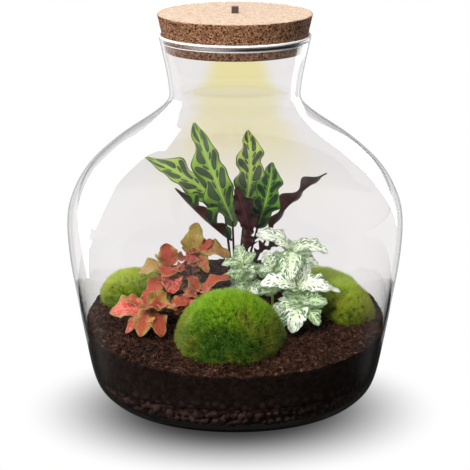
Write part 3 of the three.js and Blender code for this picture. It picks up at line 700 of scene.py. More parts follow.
def on_the_soil(count, seed):
    """Random places on top of the soil, the direction up from it at each, and the maker of random
    numbers, which then draws the rest."""
    rng = np.random.default_rng(seed)
    flat = bed.reshape(-1, 3)
    a, b, c = np.moveaxis(flat[bed_triangles], 1, 0)
    across = np.cross(b - a, c - a)
    on_top = (a[:, 2] > 45 * MM) & (np.abs(across[:, 2]) > 0.5 * np.linalg.norm(across, axis=1))
    place, normal = scattered(flat, bed_triangles[on_top], count, rng)
    normal = normal * np.sign(normal[:, 2:])
    inside = np.linalg.norm(place[:, :2], axis=1) < SOIL_EDGE
    return place[inside], normal[inside], rng


def soil_crumbs():
    """Lumps scattered on the soil. Their size is 0.8 mm plus 3.6 mm times the cube of a random
    number, so that most are small."""
    place, up, rng = on_the_soil(9000, 31)
    first, second = square_to(up, rng)
    sizes = (0.8 + 3.6 * rng.random((len(place), 1)) ** 3) * MM
    return copies(LUMP, LUMP_TRIANGLES, place, first, second, up, sizes)


def peat_fibres():
    """Slivers 2 to 8 mm long that lie on the soil, each leaning its own way."""
    place, up, rng = on_the_soil(6500, 32)
    leaning = up + 0.9 * rng.normal(size=up.shape)
    leaning /= np.linalg.norm(leaning, axis=1, keepdims=True)
    first, second = square_to(leaning, rng)
    sizes = rng.uniform(2, 8, (len(place), 1)) * MM
    return copies(SLIVER, SLIVER_TRIANGLES, place + 0.3 * MM * up, first, second, leaning, sizes)


def peat_fibre():
    """Red-brown to straw-coloured plant fibre."""
    fibre = Finish("peat_fibre")
    streak = fibre.clouds(fibre.place(), 160.0)
    colour = fibre.node("ValToRGB", {"stops": [
        (0.3, srgb(36, 20, 16)), (0.75, srgb(124, 86, 62)), (0.5, srgb(78, 44, 32)),
    ]}, {0: streak})
    return fibre.surface(colour, 0.8)


add_piece("soil_crumbs", *soil_crumbs(), peat, "soil", closed=False)
add_piece("peat_fibres", *peat_fibres(), peat_fibre(), "soil", closed=False)

# ---------------------------------------------------------------------------------------------
# Moss
# Three cushions of pincushion moss bedded in the soil. Each is a dome of packed shoots, and every
# shoot is a tuft of fine pointed leaves, bright at the tip and dark at the base, partly painted shade.
# ---------------------------------------------------------------------------------------------

MOSS_SINK = 4 * MM
MOSS_CUSHIONS = {
    "moss_front": {"centre": (-4, -51), "radii": (40, 39), "turn": 0, "height": 38, "shoots": 4200},
    "moss_left": {"centre": (-79, 38), "radii": (27, 25), "turn": 0, "height": 20, "shoots": 1900},
    "moss_right": {"centre": (79, 30), "radii": (50, 23), "turn": 1.92, "height": 17, "shoots": 2800},
}
LEAVES_A_SHOOT = 15
# A three-sided pointed leaf, 1 long.
NEEDLE = np.array([[0.054, 0, 0], [-0.027, 0.046, 0], [-0.027, -0.046, 0], [0, 0, 1]])
NEEDLE_TRIANGLES = np.array([[0, 1, 3], [1, 2, 3], [2, 0, 3]])


def cushion_grid(centre, radii, turn, height, **_):
    """A dome on a rippled oval: at each rise from 0 to 90 degrees the outline shrinks by the cosine
    and stands height times the sine above the soil, lumpy by noise in cells of 11 and 4 mm."""
    angle = np.linspace(0, 2 * np.pi, 120, endpoint=False)[None, :]
    rise = np.concatenate([[-0.2], np.linspace(0, np.pi / 2, 34)])[:, None]
    share = np.where(rise < 0, 0.97, np.cos(rise))
    ripple = share * (1 + 0.03 * np.sin(5 * angle + 1) + 0.02 * np.sin(9 * angle))
    along, across = radii[0] * ripple * np.cos(angle), radii[1] * ripple * np.sin(angle)
    x = MM * (centre[0] + along * np.cos(turn) - across * np.sin(turn))
    y = MM * (centre[1] + along * np.sin(turn) + across * np.cos(turn))
    lift = np.where(rise < 0, -MOSS_SINK, MM * height * np.sin(rise))
    points = np.stack([x, y, soil_plane(y) + lift], -1)
    outwards = points - [MM * centre[0], MM * centre[1], SOIL_HEIGHT]
    outwards /= np.linalg.norm(outwards, axis=-1, keepdims=True)
    lumps = 0.6 * noise(points, 11 * MM, 41) + 0.35 * noise(points, 4 * MM, 42) - 1.6
    return points + MM * lumps[..., None] * outwards


def cushion_shoots(grid, triangles, shoots, seed):
    """The leaves of all shoots. Each shoot has its own place and lean, and each of its leaves its own
    length and its own way out, most often about 25 degrees from the shoot."""
    rng = np.random.default_rng(seed)
    points = grid.reshape(-1, 3)
    outer = triangles[triangles.min(axis=1) >= grid.shape[1]]
    place, up = scattered(points, outer, shoots, rng)
    up = up + 0.25 * rng.normal(size=up.shape)
    place, up = np.repeat(place, LEAVES_A_SHOOT, 0), np.repeat(up, LEAVES_A_SHOOT, 0)
    shoot_tone = np.repeat(rng.random(shoots), LEAVES_A_SHOOT)
    lean = up + 0.38 * rng.normal(size=up.shape)
    lean /= np.linalg.norm(lean, axis=1, keepdims=True)
    start = place + 0.3 * MM * rng.normal(size=place.shape) - 0.9 * MM * up
    length = rng.uniform(2.4, 5.6, (len(place), 1)) * MM
    first, second = square_to(lean, rng)
    made, faces = copies(NEEDLE, NEEDLE_TRIANGLES, start, first, second, lean, length)
    tip = np.tile(NEEDLE[:, 2], len(place))
    tone = np.repeat(shoot_tone, len(NEEDLE))
    return made, faces, np.stack([tip, tone, np.repeat(rng.random(len(place)), len(NEEDLE))], -1)


def moss_green(name, bright, deep, olive):
    """Green that runs from a dark base, partly the leaves' own darker base and partly painted shade between
    the packed shoots, to a bright tip. Patches of noise turn it olive, and lower down each cushion it is
    deeper: painted shade."""
    moss = Finish(name)
    tip, tone, own = moss.carried("shoot")
    at = moss.place()
    _, _, height = moss.axes(at)
    patch = moss.clouds(at, 34.0, 3.0)
    # Painted light and shade: brighter high on the cushion, deeper low down.
    lit_from_above = (height + (patch - 0.5) * 0.03).smooth(0.066, 0.096)
    colour = moss.mix(lit_from_above, deep, bright)
    colour = moss.mix((patch - lit_from_above * 0.06).smooth(0.46, 0.64) * 0.75, colour, olive)
    colour = moss.mix((own * 0.5 + tone * 0.5).smooth(0.55, 0.95) * 0.7, colour, srgb(204, 220, 96))
    # Dark at the base of each leaf: partly its own colour and partly painted shade.
    dark = (1 - tip.smooth(0.15, 0.85)) * 0.95
    colour = moss.mix(dark, colour, srgb(20, 40, 6))
    return moss.surface(colour, 0.6, Specular_IOR_Level=0.2)


# For each cushion how bright it is high up, how deep low down, which is painted shade, and its olive
# patches.
MOSS_GREENS = {
    "moss_front": ((130, 182, 8), (46, 96, 16), (132, 130, 40)),
    "moss_left": ((186, 206, 50), (100, 132, 20), (158, 164, 44)),
    "moss_right": ((196, 228, 44), (124, 138, 32), (150, 142, 52)),
}
cushion_greens = {
    name: moss_green(name + "_green", *(srgb(*green) for green in greens))
    for name, greens in MOSS_GREENS.items()
}
for number, (name, cushion) in enumerate(MOSS_CUSHIONS.items()):
    dome = cushion_grid(**cushion)
    base = dome[:1] * 0 + dome[:1].mean(axis=1, keepdims=True)
    whole = np.concatenate([base, dome])
    dome_triangles = grid_triangles(*whole.shape[:2])
    # The dome under the shoots takes the dark base colour: painted shade between the packed shoots.
    shade = np.broadcast_to([0.15, 0.3, 0.3], whole.shape)
    green = cushion_greens[name]
    add_piece(name + "_dome", whole, dome_triangles, green, "moss", [name], shoot=shade)
    rows = grid_triangles(*dome.shape[:2])
    a, b, c = dome.reshape(-1, 3)[rows[0]]
    from_middle = a - [*(MM * np.array(cushion["centre"])), SOIL_HEIGHT]
    if np.dot(np.cross(b - a, c - a), from_middle) <= 0:
        rows = rows[:, ::-1]
    leaves, faces, shoot = cushion_shoots(dome, rows, cushion["shoots"], 50 + number)
    add_piece(name + "_shoots", leaves, faces, green, "moss", closed=False, shoot=shoot)

# ---------------------------------------------------------------------------------------------
# Rattlesnake plant
# Long wavy leaves, each on its own stalk out of the soil: light green with dark oval marks, large
# and small by turns along each side of the midrib, and deep wine-red underneath.
# ---------------------------------------------------------------------------------------------

# How far a stalk's foot is above the plain soil and its root below that, and how far its end runs
# into the blade, as a share of the midrib.
STALK_RISE = 1.5 * MM
STALK_SUNK = 12 * MM
STALK_INTO_BLADE = 0.06
BLADE_THICKNESS = 0.5 * MM
RATTLESNAKE = {"waves": 3, "ripple": 0.42, "lobes": 0.2, "scallops": 6, "scallop": 0.06}
# The marks' step along the midrib, how much they slant, and how far each side is moved.
MARK_STEP = 0.178
MARK_SLANT = 0.19
MARK_SHIFT = 0.045
# root, base, middle, tip, face, width, cup, and how yellow and how deep the green is. All lengths
# and places here and below are in millimetres.
RATTLESNAKE_LEAVES = [
    ((-3, 40), (-6, 42, 136), (-31, 50, 158), (-70, 52, 179), (0.1, -0.75, 0.65), 22, 0.15, 0.35, 0.1),
    ((-1, 36), (0, 36, 127), (-16, 40, 166), (-32, 44, 207), (-0.35, -0.9, 0.3), 24, 0.2, 0.1, 0.1),
    ((3, 43), (7, 44, 136), (12, 50, 169), (10, 54, 199), (0, -0.95, 0.25), 22, 0.1, 0.6, 0),
    ((7, 38), (17, 34, 126), (25, 36, 152), (29, 42, 177), (0.05, -0.9, 0.35), 21, 0.1, 0, 0.9),
    ((5, 31), (12, 24, 123), (7, 17, 144), (1, 20, 162), (0.2, 0.95, 0.1), 16, 0.15, 0, 0.5),
    ((9, 33), (27, 22, 128), (47, 13, 156), (70, 6, 176), (-0.6, 0.7, 0.5), 13, 0.5, 0, 0.5),
    ((-2, 31), (-3, 26, 118), (-25, 16, 139), (-46, 8, 164), (0.45, -0.25, 0.85), 16, 0.9, 0, 0.7),
    ((2, 28), (8, 22, 112), (8, 18, 121), (10, 16, 129), (0.5, 0.7, 0.3), 13, 0.8, 0.3, 0.3),
    ((8, 28), (16, 18, 110), (25, 14, 115), (36, 12, 119), (-0.1, 0.5, 0.8), 12, 0.4, 0, 0.6),
    ((6, 48), (8, 57, 122), (10, 68, 141), (12, 84, 152), (0, 0.3, 0.9), 20, 0.2, 0.1, 0.4),
]


def rattlesnake_outline(along):
    """The share of the full width: a sine hump, drawn out towards the tip."""
    return np.maximum(0.07, np.sin(np.pi * along**0.9) ** 0.66)


def unit(vectors):
    """The same directions, each 1 long."""
    return vectors / np.linalg.norm(vectors, axis=-1, keepdims=True)


def midrib(base, middle, tip, t):
    """The points and the slope at shares t of a parabola from base to tip through the middle:
    (1 - t)^2 base + 2 t (1 - t) control + t^2 tip, with control = 2 middle - (base + tip) / 2."""
    control = 2 * middle - (base + tip) / 2
    line = (1 - t) ** 2 * base + 2 * t * (1 - t) * control + t**2 * tip
    return line, 2 * (1 - t) * (control - base) + 2 * t * (tip - control)


def blade(base, middle, tip, face, width, cup, kind, outline, rows, columns):
    """A thin leaf and the coordinates of its pattern.

    A point reaches sideways from the midrib by its share of half the width times the outline, which
    the lobes and scallops swell, and is lifted towards the upper face by cup times that reach, more
    or less at each ripple. The ripples of the two edges are out of step. Each row goes over the
    upper skin and back under the lower one, and shrinks to the midrib past both ends.
    The pattern has the share along the midrib, the share across it, and 1 on the under side."""
    along = np.concatenate([[0], np.linspace(0, 1, rows), [1]])[:, None]
    spread = np.linspace(-1, 1, columns)
    across = np.concatenate([spread, spread[::-1]])[None, :]
    under = np.repeat([0.0, 1.0], columns)[None, :]
    line, tangent = midrib(base, middle, tip, along)
    side = unit(np.cross(tangent, face))
    up = unit(np.cross(side, tangent))
    wave = np.sin(2 * np.pi * kind["waves"] * along + np.where(across > 0, 0, 2))
    scallop = np.sin(2 * np.pi * kind["scallops"] * along)
    size = width * (1 + kind["lobes"] * wave + kind["scallop"] * scallop)
    reach = 0.5 * size * outline(along)
    reach[[0, -1]] = 0
    skin = np.where(under > 0, -0.5, 0.5) * BLADE_THICKNESS * np.ones_like(reach)
    skin[[0, -1]] = 0
    lift = (cup + kind["ripple"] * wave) * np.abs(across) ** 1.4 * reach + skin
    points = line[:, None] + (across * reach)[..., None] * side[:, None] + lift[..., None] * up[:, None]
    pattern = np.stack(np.broadcast_arrays(along, across, under), -1)
    return points, pattern


def tube(line, radii, sides):
    """A round stalk along a line: rings square to it, and both ends drawn in to a point."""
    tangent = unit(np.gradient(line, axis=0))
    front = unit(np.array([0, 1, 0]) - tangent * tangent[:, 1:2])
    side = np.cross(tangent, front)
    angle = np.linspace(0, 2 * np.pi, sides, endpoint=False)[None, :, None]
    ring = np.cos(angle) * front[:, None] + np.sin(angle) * side[:, None]
    points = line[:, None] + radii[:, None, None] * ring
    ends = np.repeat(line[[0, -1], None], sides, axis=1)
    return np.concatenate([ends[:1], points, ends[1:]])


def joined(parts):
    """Several grids, each with its own coordinates for its pattern, as one list of triangles."""
    triangles, start = [], 0
    for points, _ in parts:
        triangles.append(grid_triangles(*points.shape[:2]) + start)
        start += points.shape[0] * points.shape[1]
    points = np.concatenate([p.reshape(-1, 3) for p, _ in parts])
    pattern = np.concatenate([q.reshape(-1, 3) for _, q in parts])
    return points, np.concatenate(triangles), pattern


def facing_out(points, pattern):
    """A grid and its pattern, turned the other way round where the volume that its triangles close
    in, the sum of a . (b x c) about its middle, comes out negative."""
    triangles = grid_triangles(*points.shape[:2])
    centred = (points - points.mean(axis=(0, 1))).reshape(-1, 3)
    a, b, c = np.moveaxis(centred[triangles], 1, 0)
    if np.sum(a * np.cross(b, c)) >= 0:
        return points, pattern
    return points[:, ::-1], pattern[:, ::-1]


def rattlesnake_stalk(root, base, middle, tip):
    """A stalk from under the soil through a knee, which stays close to the root, into the blade."""
    foot = np.array([*root, 0.0])
    foot[2] = soil_height(*root) + STALK_RISE
    knee = foot + 0.45 * (base - foot)
    knee[:2] += 0.35 * (np.array(root) - knee[:2])
    into, _ = midrib(base, middle, tip, STALK_INTO_BLADE)
    sunk = foot - [0, 0, STALK_SUNK]
    line = smooth_line(np.array([sunk, foot, knee, into]), 30)
    return tube(line, np.linspace(1.25, 0.85, 30) * MM, 10)


def rattlesnake_skin():
    """The marks repeat along each side of the midrib, slanting towards the tip, and the two sides
    are half a step apart. A large oval and a small one share each step."""
    leaf = Finish("rattlesnake_skin")
    along, across, under = leaf.carried("leaf")
    yellow, deep, _ = leaf.carried("tones")
    reach = abs(across)
    at = leaf.place()
    drift = leaf.clouds(at, 60.0)
    shift = across.math("SIGN") * MARK_SHIFT
    step = (along - reach * MARK_SLANT + shift) / MARK_STEP + drift * 0.3
    large_off = step.math("FRACT") - 0.5
    small_off = (step + 0.5).math("FRACT") - 0.5
    large = (large_off / 0.37) ** 2 + ((reach - 0.5) / 0.36) ** 2
    small = (small_off / 0.13) ** 2 + ((reach - 0.28) / 0.14) ** 2
    nearest = large.math("MINIMUM", small)
    mark = nearest.smooth(1.12, 0.86)
    rim = mark * nearest.smooth(0.45, 0.95)
    vein = ((along - reach * 0.12) * 420.0).math("SINE")
    fresh = leaf.mix(yellow, srgb(150, 190, 66), srgb(196, 206, 104))
    fresh = leaf.mix(deep, fresh, srgb(88, 142, 36))
    fresh = leaf.mix(drift.smooth(0.4, 0.7) * 0.35, fresh, srgb(112, 160, 58))
    fresh = leaf.mix(along.smooth(0.6, 0.05) * 0.85, fresh, srgb(52, 108, 50))
    fresh = leaf.mix(vein * 0.06 + 0.06, fresh, srgb(60, 100, 40))
    dark = leaf.mix(deep, srgb(70, 86, 62), srgb(26, 48, 36))
    dark = leaf.mix(rim, dark, srgb(34, 58, 30))
    upper = leaf.mix(mark, fresh, dark)
    upper = leaf.mix(reach.smooth(0.05, 0.02) * 0.8, upper, srgb(176, 204, 104))
    upper = leaf.mix(reach.smooth(0.88, 0.97), upper, srgb(40, 72, 34))
    mottle = leaf.clouds(at, 220.0, 4.0)
    wine = leaf.mix(mottle.smooth(0.35, 0.7), srgb(31, 11, 13), srgb(70, 27, 31))
    wine = leaf.mix(reach.smooth(0.06, 0.02), wine, srgb(92, 50, 40))
    colour = leaf.mix(under, upper, wine)
    relief = vein * 0.12 + reach.smooth(0.0, 0.1) + mark * 0.15
    return leaf.surface(colour, 0.36, relief, 0.25 * MM, Specular_IOR_Level=0.5)


rattlesnake = rattlesnake_skin()
for number, (root, base, middle, tip, face, width, cup, *tones) in enumerate(RATTLESNAKE_LEAVES, 1):
    root, base, middle, tip = (MM * np.array(p, float) for p in (root, base, middle, tip))
    stalk = rattlesnake_stalk(root, base, middle, tip)
    leaf_blade = blade(
        base, middle, tip, face, MM * width, cup, RATTLESNAKE, rattlesnake_outline, 84, 15
    )
    stalk_pattern = np.broadcast_to([0.5, 0.5, 1.0], stalk.shape)
    points, triangles, leaf = joined([facing_out(*leaf_blade), facing_out(stalk, stalk_pattern)])
    name = f"rattlesnake_leaf_{number}"
    tone = np.broadcast_to([*tones, 0], points.shape)
    add_piece(
        name + "_blade", points, triangles, rattlesnake, "rattlesnake_leaf", [name], leaf=leaf, tones=tone
    )

# ---------------------------------------------------------------------------------------------
# Red nerve plant
# Four leafy stems with oval leaves, olive to coral pink with a fine net of veins.
# ---------------------------------------------------------------------------------------------

RED_NERVE = {"waves": 2, "ripple": 0.28, "lobes": 0.07, "scallops": 5, "scallop": 0.04}
YOUNG_LEAVES = 13
YOUNG_TURN = 2.4
RIB_SLANT = 0.3
RIBS = 7.0
# root, path, then for each leaf: share of the stem, tip, width, arch, face, and how coral it is.
RED_STEMS = {
    "nerve_red_back": ((-34, 23), [(-36, 20, 88), (-32, 16, 108), (-27, 14, 114)], [
        (0.75, (-29, 20, 134), 17, 2, (-0.3, -0.9, 0.3), 0.1),
        (0.9, (-24, 23, 121), 13, 1, (0.1, -0.9, 0.3), 0.1),
        (0.97, (-17, 12, 122), 9, 1, (0, -0.7, 0.7), 1),
        (0.95, (-4, 10, 109), 15, 5, (0, -0.5, 0.85), 0.3),
        (0.95, (-37, 7, 106), 12, 2, (0.2, -0.8, 0.5), 0.8),
        (0.95, (-21, 5, 98), 9, 2, (0.1, -0.9, 0.3), 0.5),
        (0.5, (-39, 6, 92), 9, 2, (-0.2, -0.8, 0.5), 0.7),
        (0.83, (-38, 36, 108), 13, 3, (0, 0.4, 0.9), 0.5),
        (0.9, (-18, 31, 106), 12, 3, (0.2, 0.4, 0.9), 0.4),
    ]),
    "nerve_red_left": ((-51, 6), [(-50, 3, 88), (-50, 1, 104)], [
        (0.97, (-53, 6, 121), 16, 1, (0, -0.9, 0.4), 0.7),
        (0.97, (-52, -12, 99), 17, 3, (0, -0.4, 0.9), 0.8),
        (0.85, (-47, -15, 87), 16, 2, (0.1, -0.9, 0.4), 1),
        (0.95, (-74, 5, 99), 14, 4, (-0.1, -0.6, 0.8), 0.25),
        (0.75, (-68, -4, 83), 13, 4, (-0.4, -0.8, 0.4), 0.9),
        (0.85, (-41, -8, 88), 9, 2, (0.3, -0.9, 0.3), 0.5),
        (0.95, (-60, 20, 108), 13, 3, (-0.2, 0.4, 0.9), 0.5),
    ]),
    "nerve_red_runner": ((-40, -16), [(-43, -20, 73), (-54, -25, 77), (-64, -26, 76), (-67, -24, 81)], [
        (0.9, (-95, -20, 74), 19, 3, (-0.1, -0.6, 0.8), 0.75),
        (0.97, (-87, -12, 80), 10, 3, (-0.1, -0.4, 0.9), 0.95),
        (0.85, (-71, -46, 62), 15, 4, (-0.1, -0.7, 0.7), 0.6),
        (0.8, (-55, -46, 62), 14, 4, (0.2, -0.7, 0.7), 0.7),
        (0.85, (-82, -41, 63), 9, 3, (-0.2, -0.7, 0.7), 1),
        (0.9, (-53, -17, 89), 15, 1, (0.1, -0.9, 0.4), 0.45),
        (0.97, (-68, -15, 90), 8, 1, (0, -0.8, 0.6), 0.8),
    ]),
    "nerve_red_front": ((-30, -4), [(-29, -8, 80), (-27, -9, 89)], [
        (0.8, (-45, -27, 74), 16, 4, (-0.3, -0.6, 0.7), 1),
        (0.97, (-19, -19, 90), 10, 2, (0.3, -0.6, 0.7), 0.9),
        (0.97, (-3, -8, 98), 10, 3, (0, -0.4, 0.9), 0.9),
        (0.9, (-35, -1, 97), 9, 2, (-0.2, -0.6, 0.8), 0.7),
        (0.85, (-18, 6, 90), 10, 2, (0.3, 0.3, 0.9), 0.5),
        (0.7, (-24, -21, 85), 8, 2, (0.1, -0.8, 0.6), 0.8),
    ]),
}


def nerve_outline(along):
    """The share of the full width: a leaf stalk at a tenth of it, then a broad sine hump."""
    in_blade = np.maximum(0, along - 0.07) / 0.93
    return np.maximum(0.1, np.sin(np.pi * in_blade**0.8) ** 0.55)


def nerve_stem(root, path, leaves, kind, seed):
    """A stem and its leaves as joined grids. Each leaf starts on the stem, at a share of its length,
    and its middle is raised by the arch. Stem points have 2 as their third pattern number.
    After the listed leaves come small young ones up the stem, each turned from the last. A stem's
    length counts from the soil, or from its twelfth ring where the path has more than two points."""
    rng = np.random.default_rng(seed)
    foot = MM * np.array([*root, 0.0])
    foot[2] = soil_height(*(MM * np.array(root, float))) + STALK_RISE
    line = smooth_line(np.array([foot - [0, 0, 10 * MM], foot, *(MM * np.array(path, float))]), 46)
    stem = tube(line, np.linspace(1.15, 0.75, 46) * MM, 8)
    above = line[line[:, 2] >= foot[2] - 0.01 * MM] if len(path) == 2 else line[11:]
    run = np.concatenate([[0], np.cumsum(np.linalg.norm(np.diff(above, axis=0), axis=1))])
    parts = [(stem, np.broadcast_to([0.5, 0.5, 2.0], stem.shape))]
    tones = [np.broadcast_to([0.5, 0.5, 0.5], (stem[..., 0].size, 3))]

    def on_stem(share):
        """The place at a share of the stem's length above the soil."""
        return np.array([np.interp(share * run[-1], run, above[:, k]) for k in range(3)])

    young = []
    for k in range(YOUNG_LEAVES):
        share = 0.3 + 0.6 * k / YOUNG_LEAVES
        turn = YOUNG_TURN * k + seed
        outwards = np.array([np.cos(turn), np.sin(turn), 0.35])
        end = on_stem(share) / MM + rng.uniform(9, 20) * outwards
        young.append((share, end, rng.uniform(7, 12), 2, (0, -0.4, 0.9), rng.uniform(0.5, 1.0)))
    for share, end, width, arch, face, tone in [*leaves, *young]:
        start = on_stem(share)
        tip, face = MM * np.array(end, float), np.array(face, float)
        chord = unit(tip - start)
        start = start + 0.44 * MM * chord
        up = unit(face - chord * np.dot(face, chord))
        middle = (start + tip) / 2 + MM * arch * up
        grid = blade(start, middle, tip, face, MM * width, 0.2, kind, nerve_outline, 36, 13)
        parts.append(grid)
        tones.append(np.broadcast_to([tone, *rng.random(2)], (grid[0][..., 0].size, 3)))
    points, triangles, pattern = joined([facing_out(*part) for part in parts])
    return points, triangles, pattern, np.concatenate(tones)


def leaf_veins(leaf, long_cells, cross_cells):
    """What both nerve skins draw with: the share along the leaf, the reach from the midrib, the
    layer, the three tones, the distance from the small veins, and the way from the nearest side
    rib, which is 0 on the rib and 0.5 either way at halfway to the next.

    The small veins are the edges of cells that are drawn out sideways and slant towards the tip,
    shifted by a number that differs from leaf to leaf and from side to side."""
    along, across, layer = leaf.carried("leaf")
    tones = leaf.carried("tones")
    reach = abs(across)
    slanted = along - reach * RIB_SLANT
    shift = (tones[2] + across.math("SIGN")) * 40.0
    cell = {0: slanted * long_cells, 1: reach * cross_cells, 2: shift}
    net = leaf.cells(leaf.node("CombineXYZ", {}, cell), 1.0, feature="DISTANCE_TO_EDGE")
    rib = (slanted * RIBS).math("FRACT") - 0.5
    return along, reach, layer, tones, net, rib


def layered(leaf, layer, upper, below, stem):
    """The colour of the upper skin, the under side or the stem, which are layers 0, 1 and 2."""
    colour = leaf.mix(layer.smooth(0.4, 0.6), upper, below)
    return leaf.mix(layer.smooth(1.4, 1.6), colour, stem)


def add_stems(stems, kind, skin, slot, seed):
    """Each stem with its leaves as one piece, which stands for the solid of the same name."""
    for number, (name, stem) in enumerate(stems.items()):
        points, triangles, leaf, tones = nerve_stem(*stem, kind, seed + number)
        add_piece(name + "_leaves", points, triangles, skin, slot, [name], leaf=leaf, tones=tones)


def red_nerve_skin():
    """Olive at the edge to coral in the middle, more so the more coral the leaf is, with a net of
    veins. The under side is dull rose, and the stem is pinkish brown."""
    leaf = Finish("red_nerve_skin")
    _, reach, layer, (coral, chance, own), net, rib = leaf_veins(leaf, 9.0, 3.0)
    ribs = abs(rib).smooth(0.1, 0.03)
    veins = net.smooth(0.15, 0.06).math("MAXIMUM", ribs).math("MAXIMUM", reach.smooth(0.07, 0.03))
    cloud = leaf.clouds(leaf.place(), 130.0, 3.0)
    olive = leaf.mix(chance, srgb(104, 128, 40), srgb(170, 176, 84))
    olive = leaf.mix(cloud.smooth(0.45, 0.7) * 0.35, olive, srgb(150, 82, 42))
    pink = leaf.mix(own, srgb(210, 72, 66), srgb(178, 40, 60))
    blush = (coral * 1.3 - reach * 0.7 + cloud * 0.9 - 0.4).smooth(0.15, 0.65)
    ground = leaf.mix(blush, olive, pink)
    ground = leaf.mix(chance.smooth(0.5, 1.0) * 0.45, ground, srgb(92, 44, 26))
    fresh_vein = leaf.mix(chance.smooth(0.5, 0.7), srgb(118, 104, 34), srgb(234, 150, 124))
    vein = leaf.mix(blush, srgb(206, 128, 92), fresh_vein)
    upper = leaf.mix(veins * 0.55, ground, vein)
    upper = leaf.mix(reach.smooth(0.8, 0.95) * 0.6, upper, srgb(150, 140, 64))
    upper = leaf.mix(reach.smooth(0.95, 1.0) * 0.6, upper, srgb(226, 200, 140))
    below = leaf.mix(cloud, srgb(196, 132, 112), srgb(172, 104, 84))
    stem = leaf.mix(cloud, srgb(206, 158, 132), srgb(162, 128, 84))
    colour = layered(leaf, layer, upper, below, stem)
    relief = 1 - veins * 0.6 + abs(rib) * 1.2
    return leaf.surface(colour, 0.45, relief, 0.5 * MM, Specular_IOR_Level=0.4)


add_stems(RED_STEMS, RED_NERVE, red_nerve_skin(), "red_nerve_leaf", 70)

# ---------------------------------------------------------------------------------------------
# White nerve plant
# Six leafy stems. The leaves are nearly white, with a feathered dark green net left between their
# broad pale veins, and yellow-green where they join the stem.
# ---------------------------------------------------------------------------------------------

WHITE_NERVE = {"waves": 3, "ripple": 0.18, "lobes": 0.05, "scallops": 8, "scallop": 0.05}
# As the red stems, and last how green each leaf is.
WHITE_STEMS = {
    "nerve_white_tall": ((47, 13), [(46, 12, 92), (43, 9, 117)], [
        (0.97, (16, 2, 129), 15, 6, (0, -0.6, 0.8), 0.1),
        (0.96, (71, 4, 114), 14, 6, (0.1, -0.5, 0.85), 0.3),
        (0.95, (42, -13, 97), 18, 3, (-0.1, -0.95, 0.3), 0.45),
        (0.85, (64, 4, 104), 9, 3, (0.2, -0.6, 0.8), 0.3),
        (0.95, (47, 31, 115), 13, 4, (0, 0.4, 0.9), 0.3),
    ]),
    "nerve_white_middle": ((50, -2), [(49, -4, 78), (48, -6, 90)], [
        (0.97, (19, -11, 93), 16, 6, (0, -0.6, 0.8), 0),
        (0.97, (72, -13, 89), 18, 6, (0.1, -0.6, 0.8), 0),
        (0.92, (81, -4, 85), 11, 4, (0.2, -0.4, 0.9), 0.2),
        (0.97, (57, 3, 105), 9, 1, (0, -0.9, 0.4), 0.1),
        (0.9, (60, 17, 90), 11, 3, (0.2, 0.4, 0.9), 0.4),
    ]),
    "nerve_white_low": ((49, -17), [(49, -18, 74), (49, -17, 82)], [
        (0.9, (28, -25, 72), 14, 4, (-0.3, -0.7, 0.6), 0.2),
        (0.95, (70, -20, 81), 14, 3, (0.1, -0.6, 0.8), 0.8),
        (0.97, (43, -39, 63), 18, 4, (0, -0.7, 0.7), 0.25),
        (0.9, (63, -33, 67), 15, 3, (0.3, -0.6, 0.7), 0.9),
        (0.8, (34, -34, 65), 11, 3, (-0.2, -0.7, 0.7), 0.6),
    ]),
    "nerve_white_left": ((5, 5), [(6, 4, 88), (6, 1, 107)], [
        (0.97, (-10, -2, 106), 9, 3, (0, -0.6, 0.8), 0.7),
        (0.97, (2, 6, 120), 11, 1, (0, -0.9, 0.4), 0.6),
        (0.97, (16, 3, 114), 8, 2, (0.1, -0.7, 0.7), 0.8),
        (0.92, (15, -8, 101), 9, 2, (0.2, -0.7, 0.7), 0.6),
        (0.9, (0, -10, 97), 10, 2, (-0.1, -0.8, 0.6), 0.9),
    ]),
    "nerve_white_inner": ((29, 8), [(29, 6, 88), (29, 4, 103)], [
        (0.97, (19, -3, 101), 10, 2, (-0.2, -0.7, 0.7), 0.3),
        (0.97, (23, 2, 115), 12, 1, (-0.1, -0.9, 0.4), 0.2),
        (0.95, (27, 20, 104), 10, 3, (0, 0.4, 0.9), 0.5),
    ]),
    "nerve_white_sprout": ((10, -8), [(10, -9, 78), (10, -10, 87)], [
        (0.97, (17, -19, 88), 11, 2, (0.1, -0.7, 0.7), 0.2),
        (0.95, (-2, -16, 89), 9, 2, (-0.1, -0.7, 0.7), 0.5),
        (0.9, (9, 3, 90), 8, 2, (0, 0.3, 0.9), 0.7),
    ]),
}


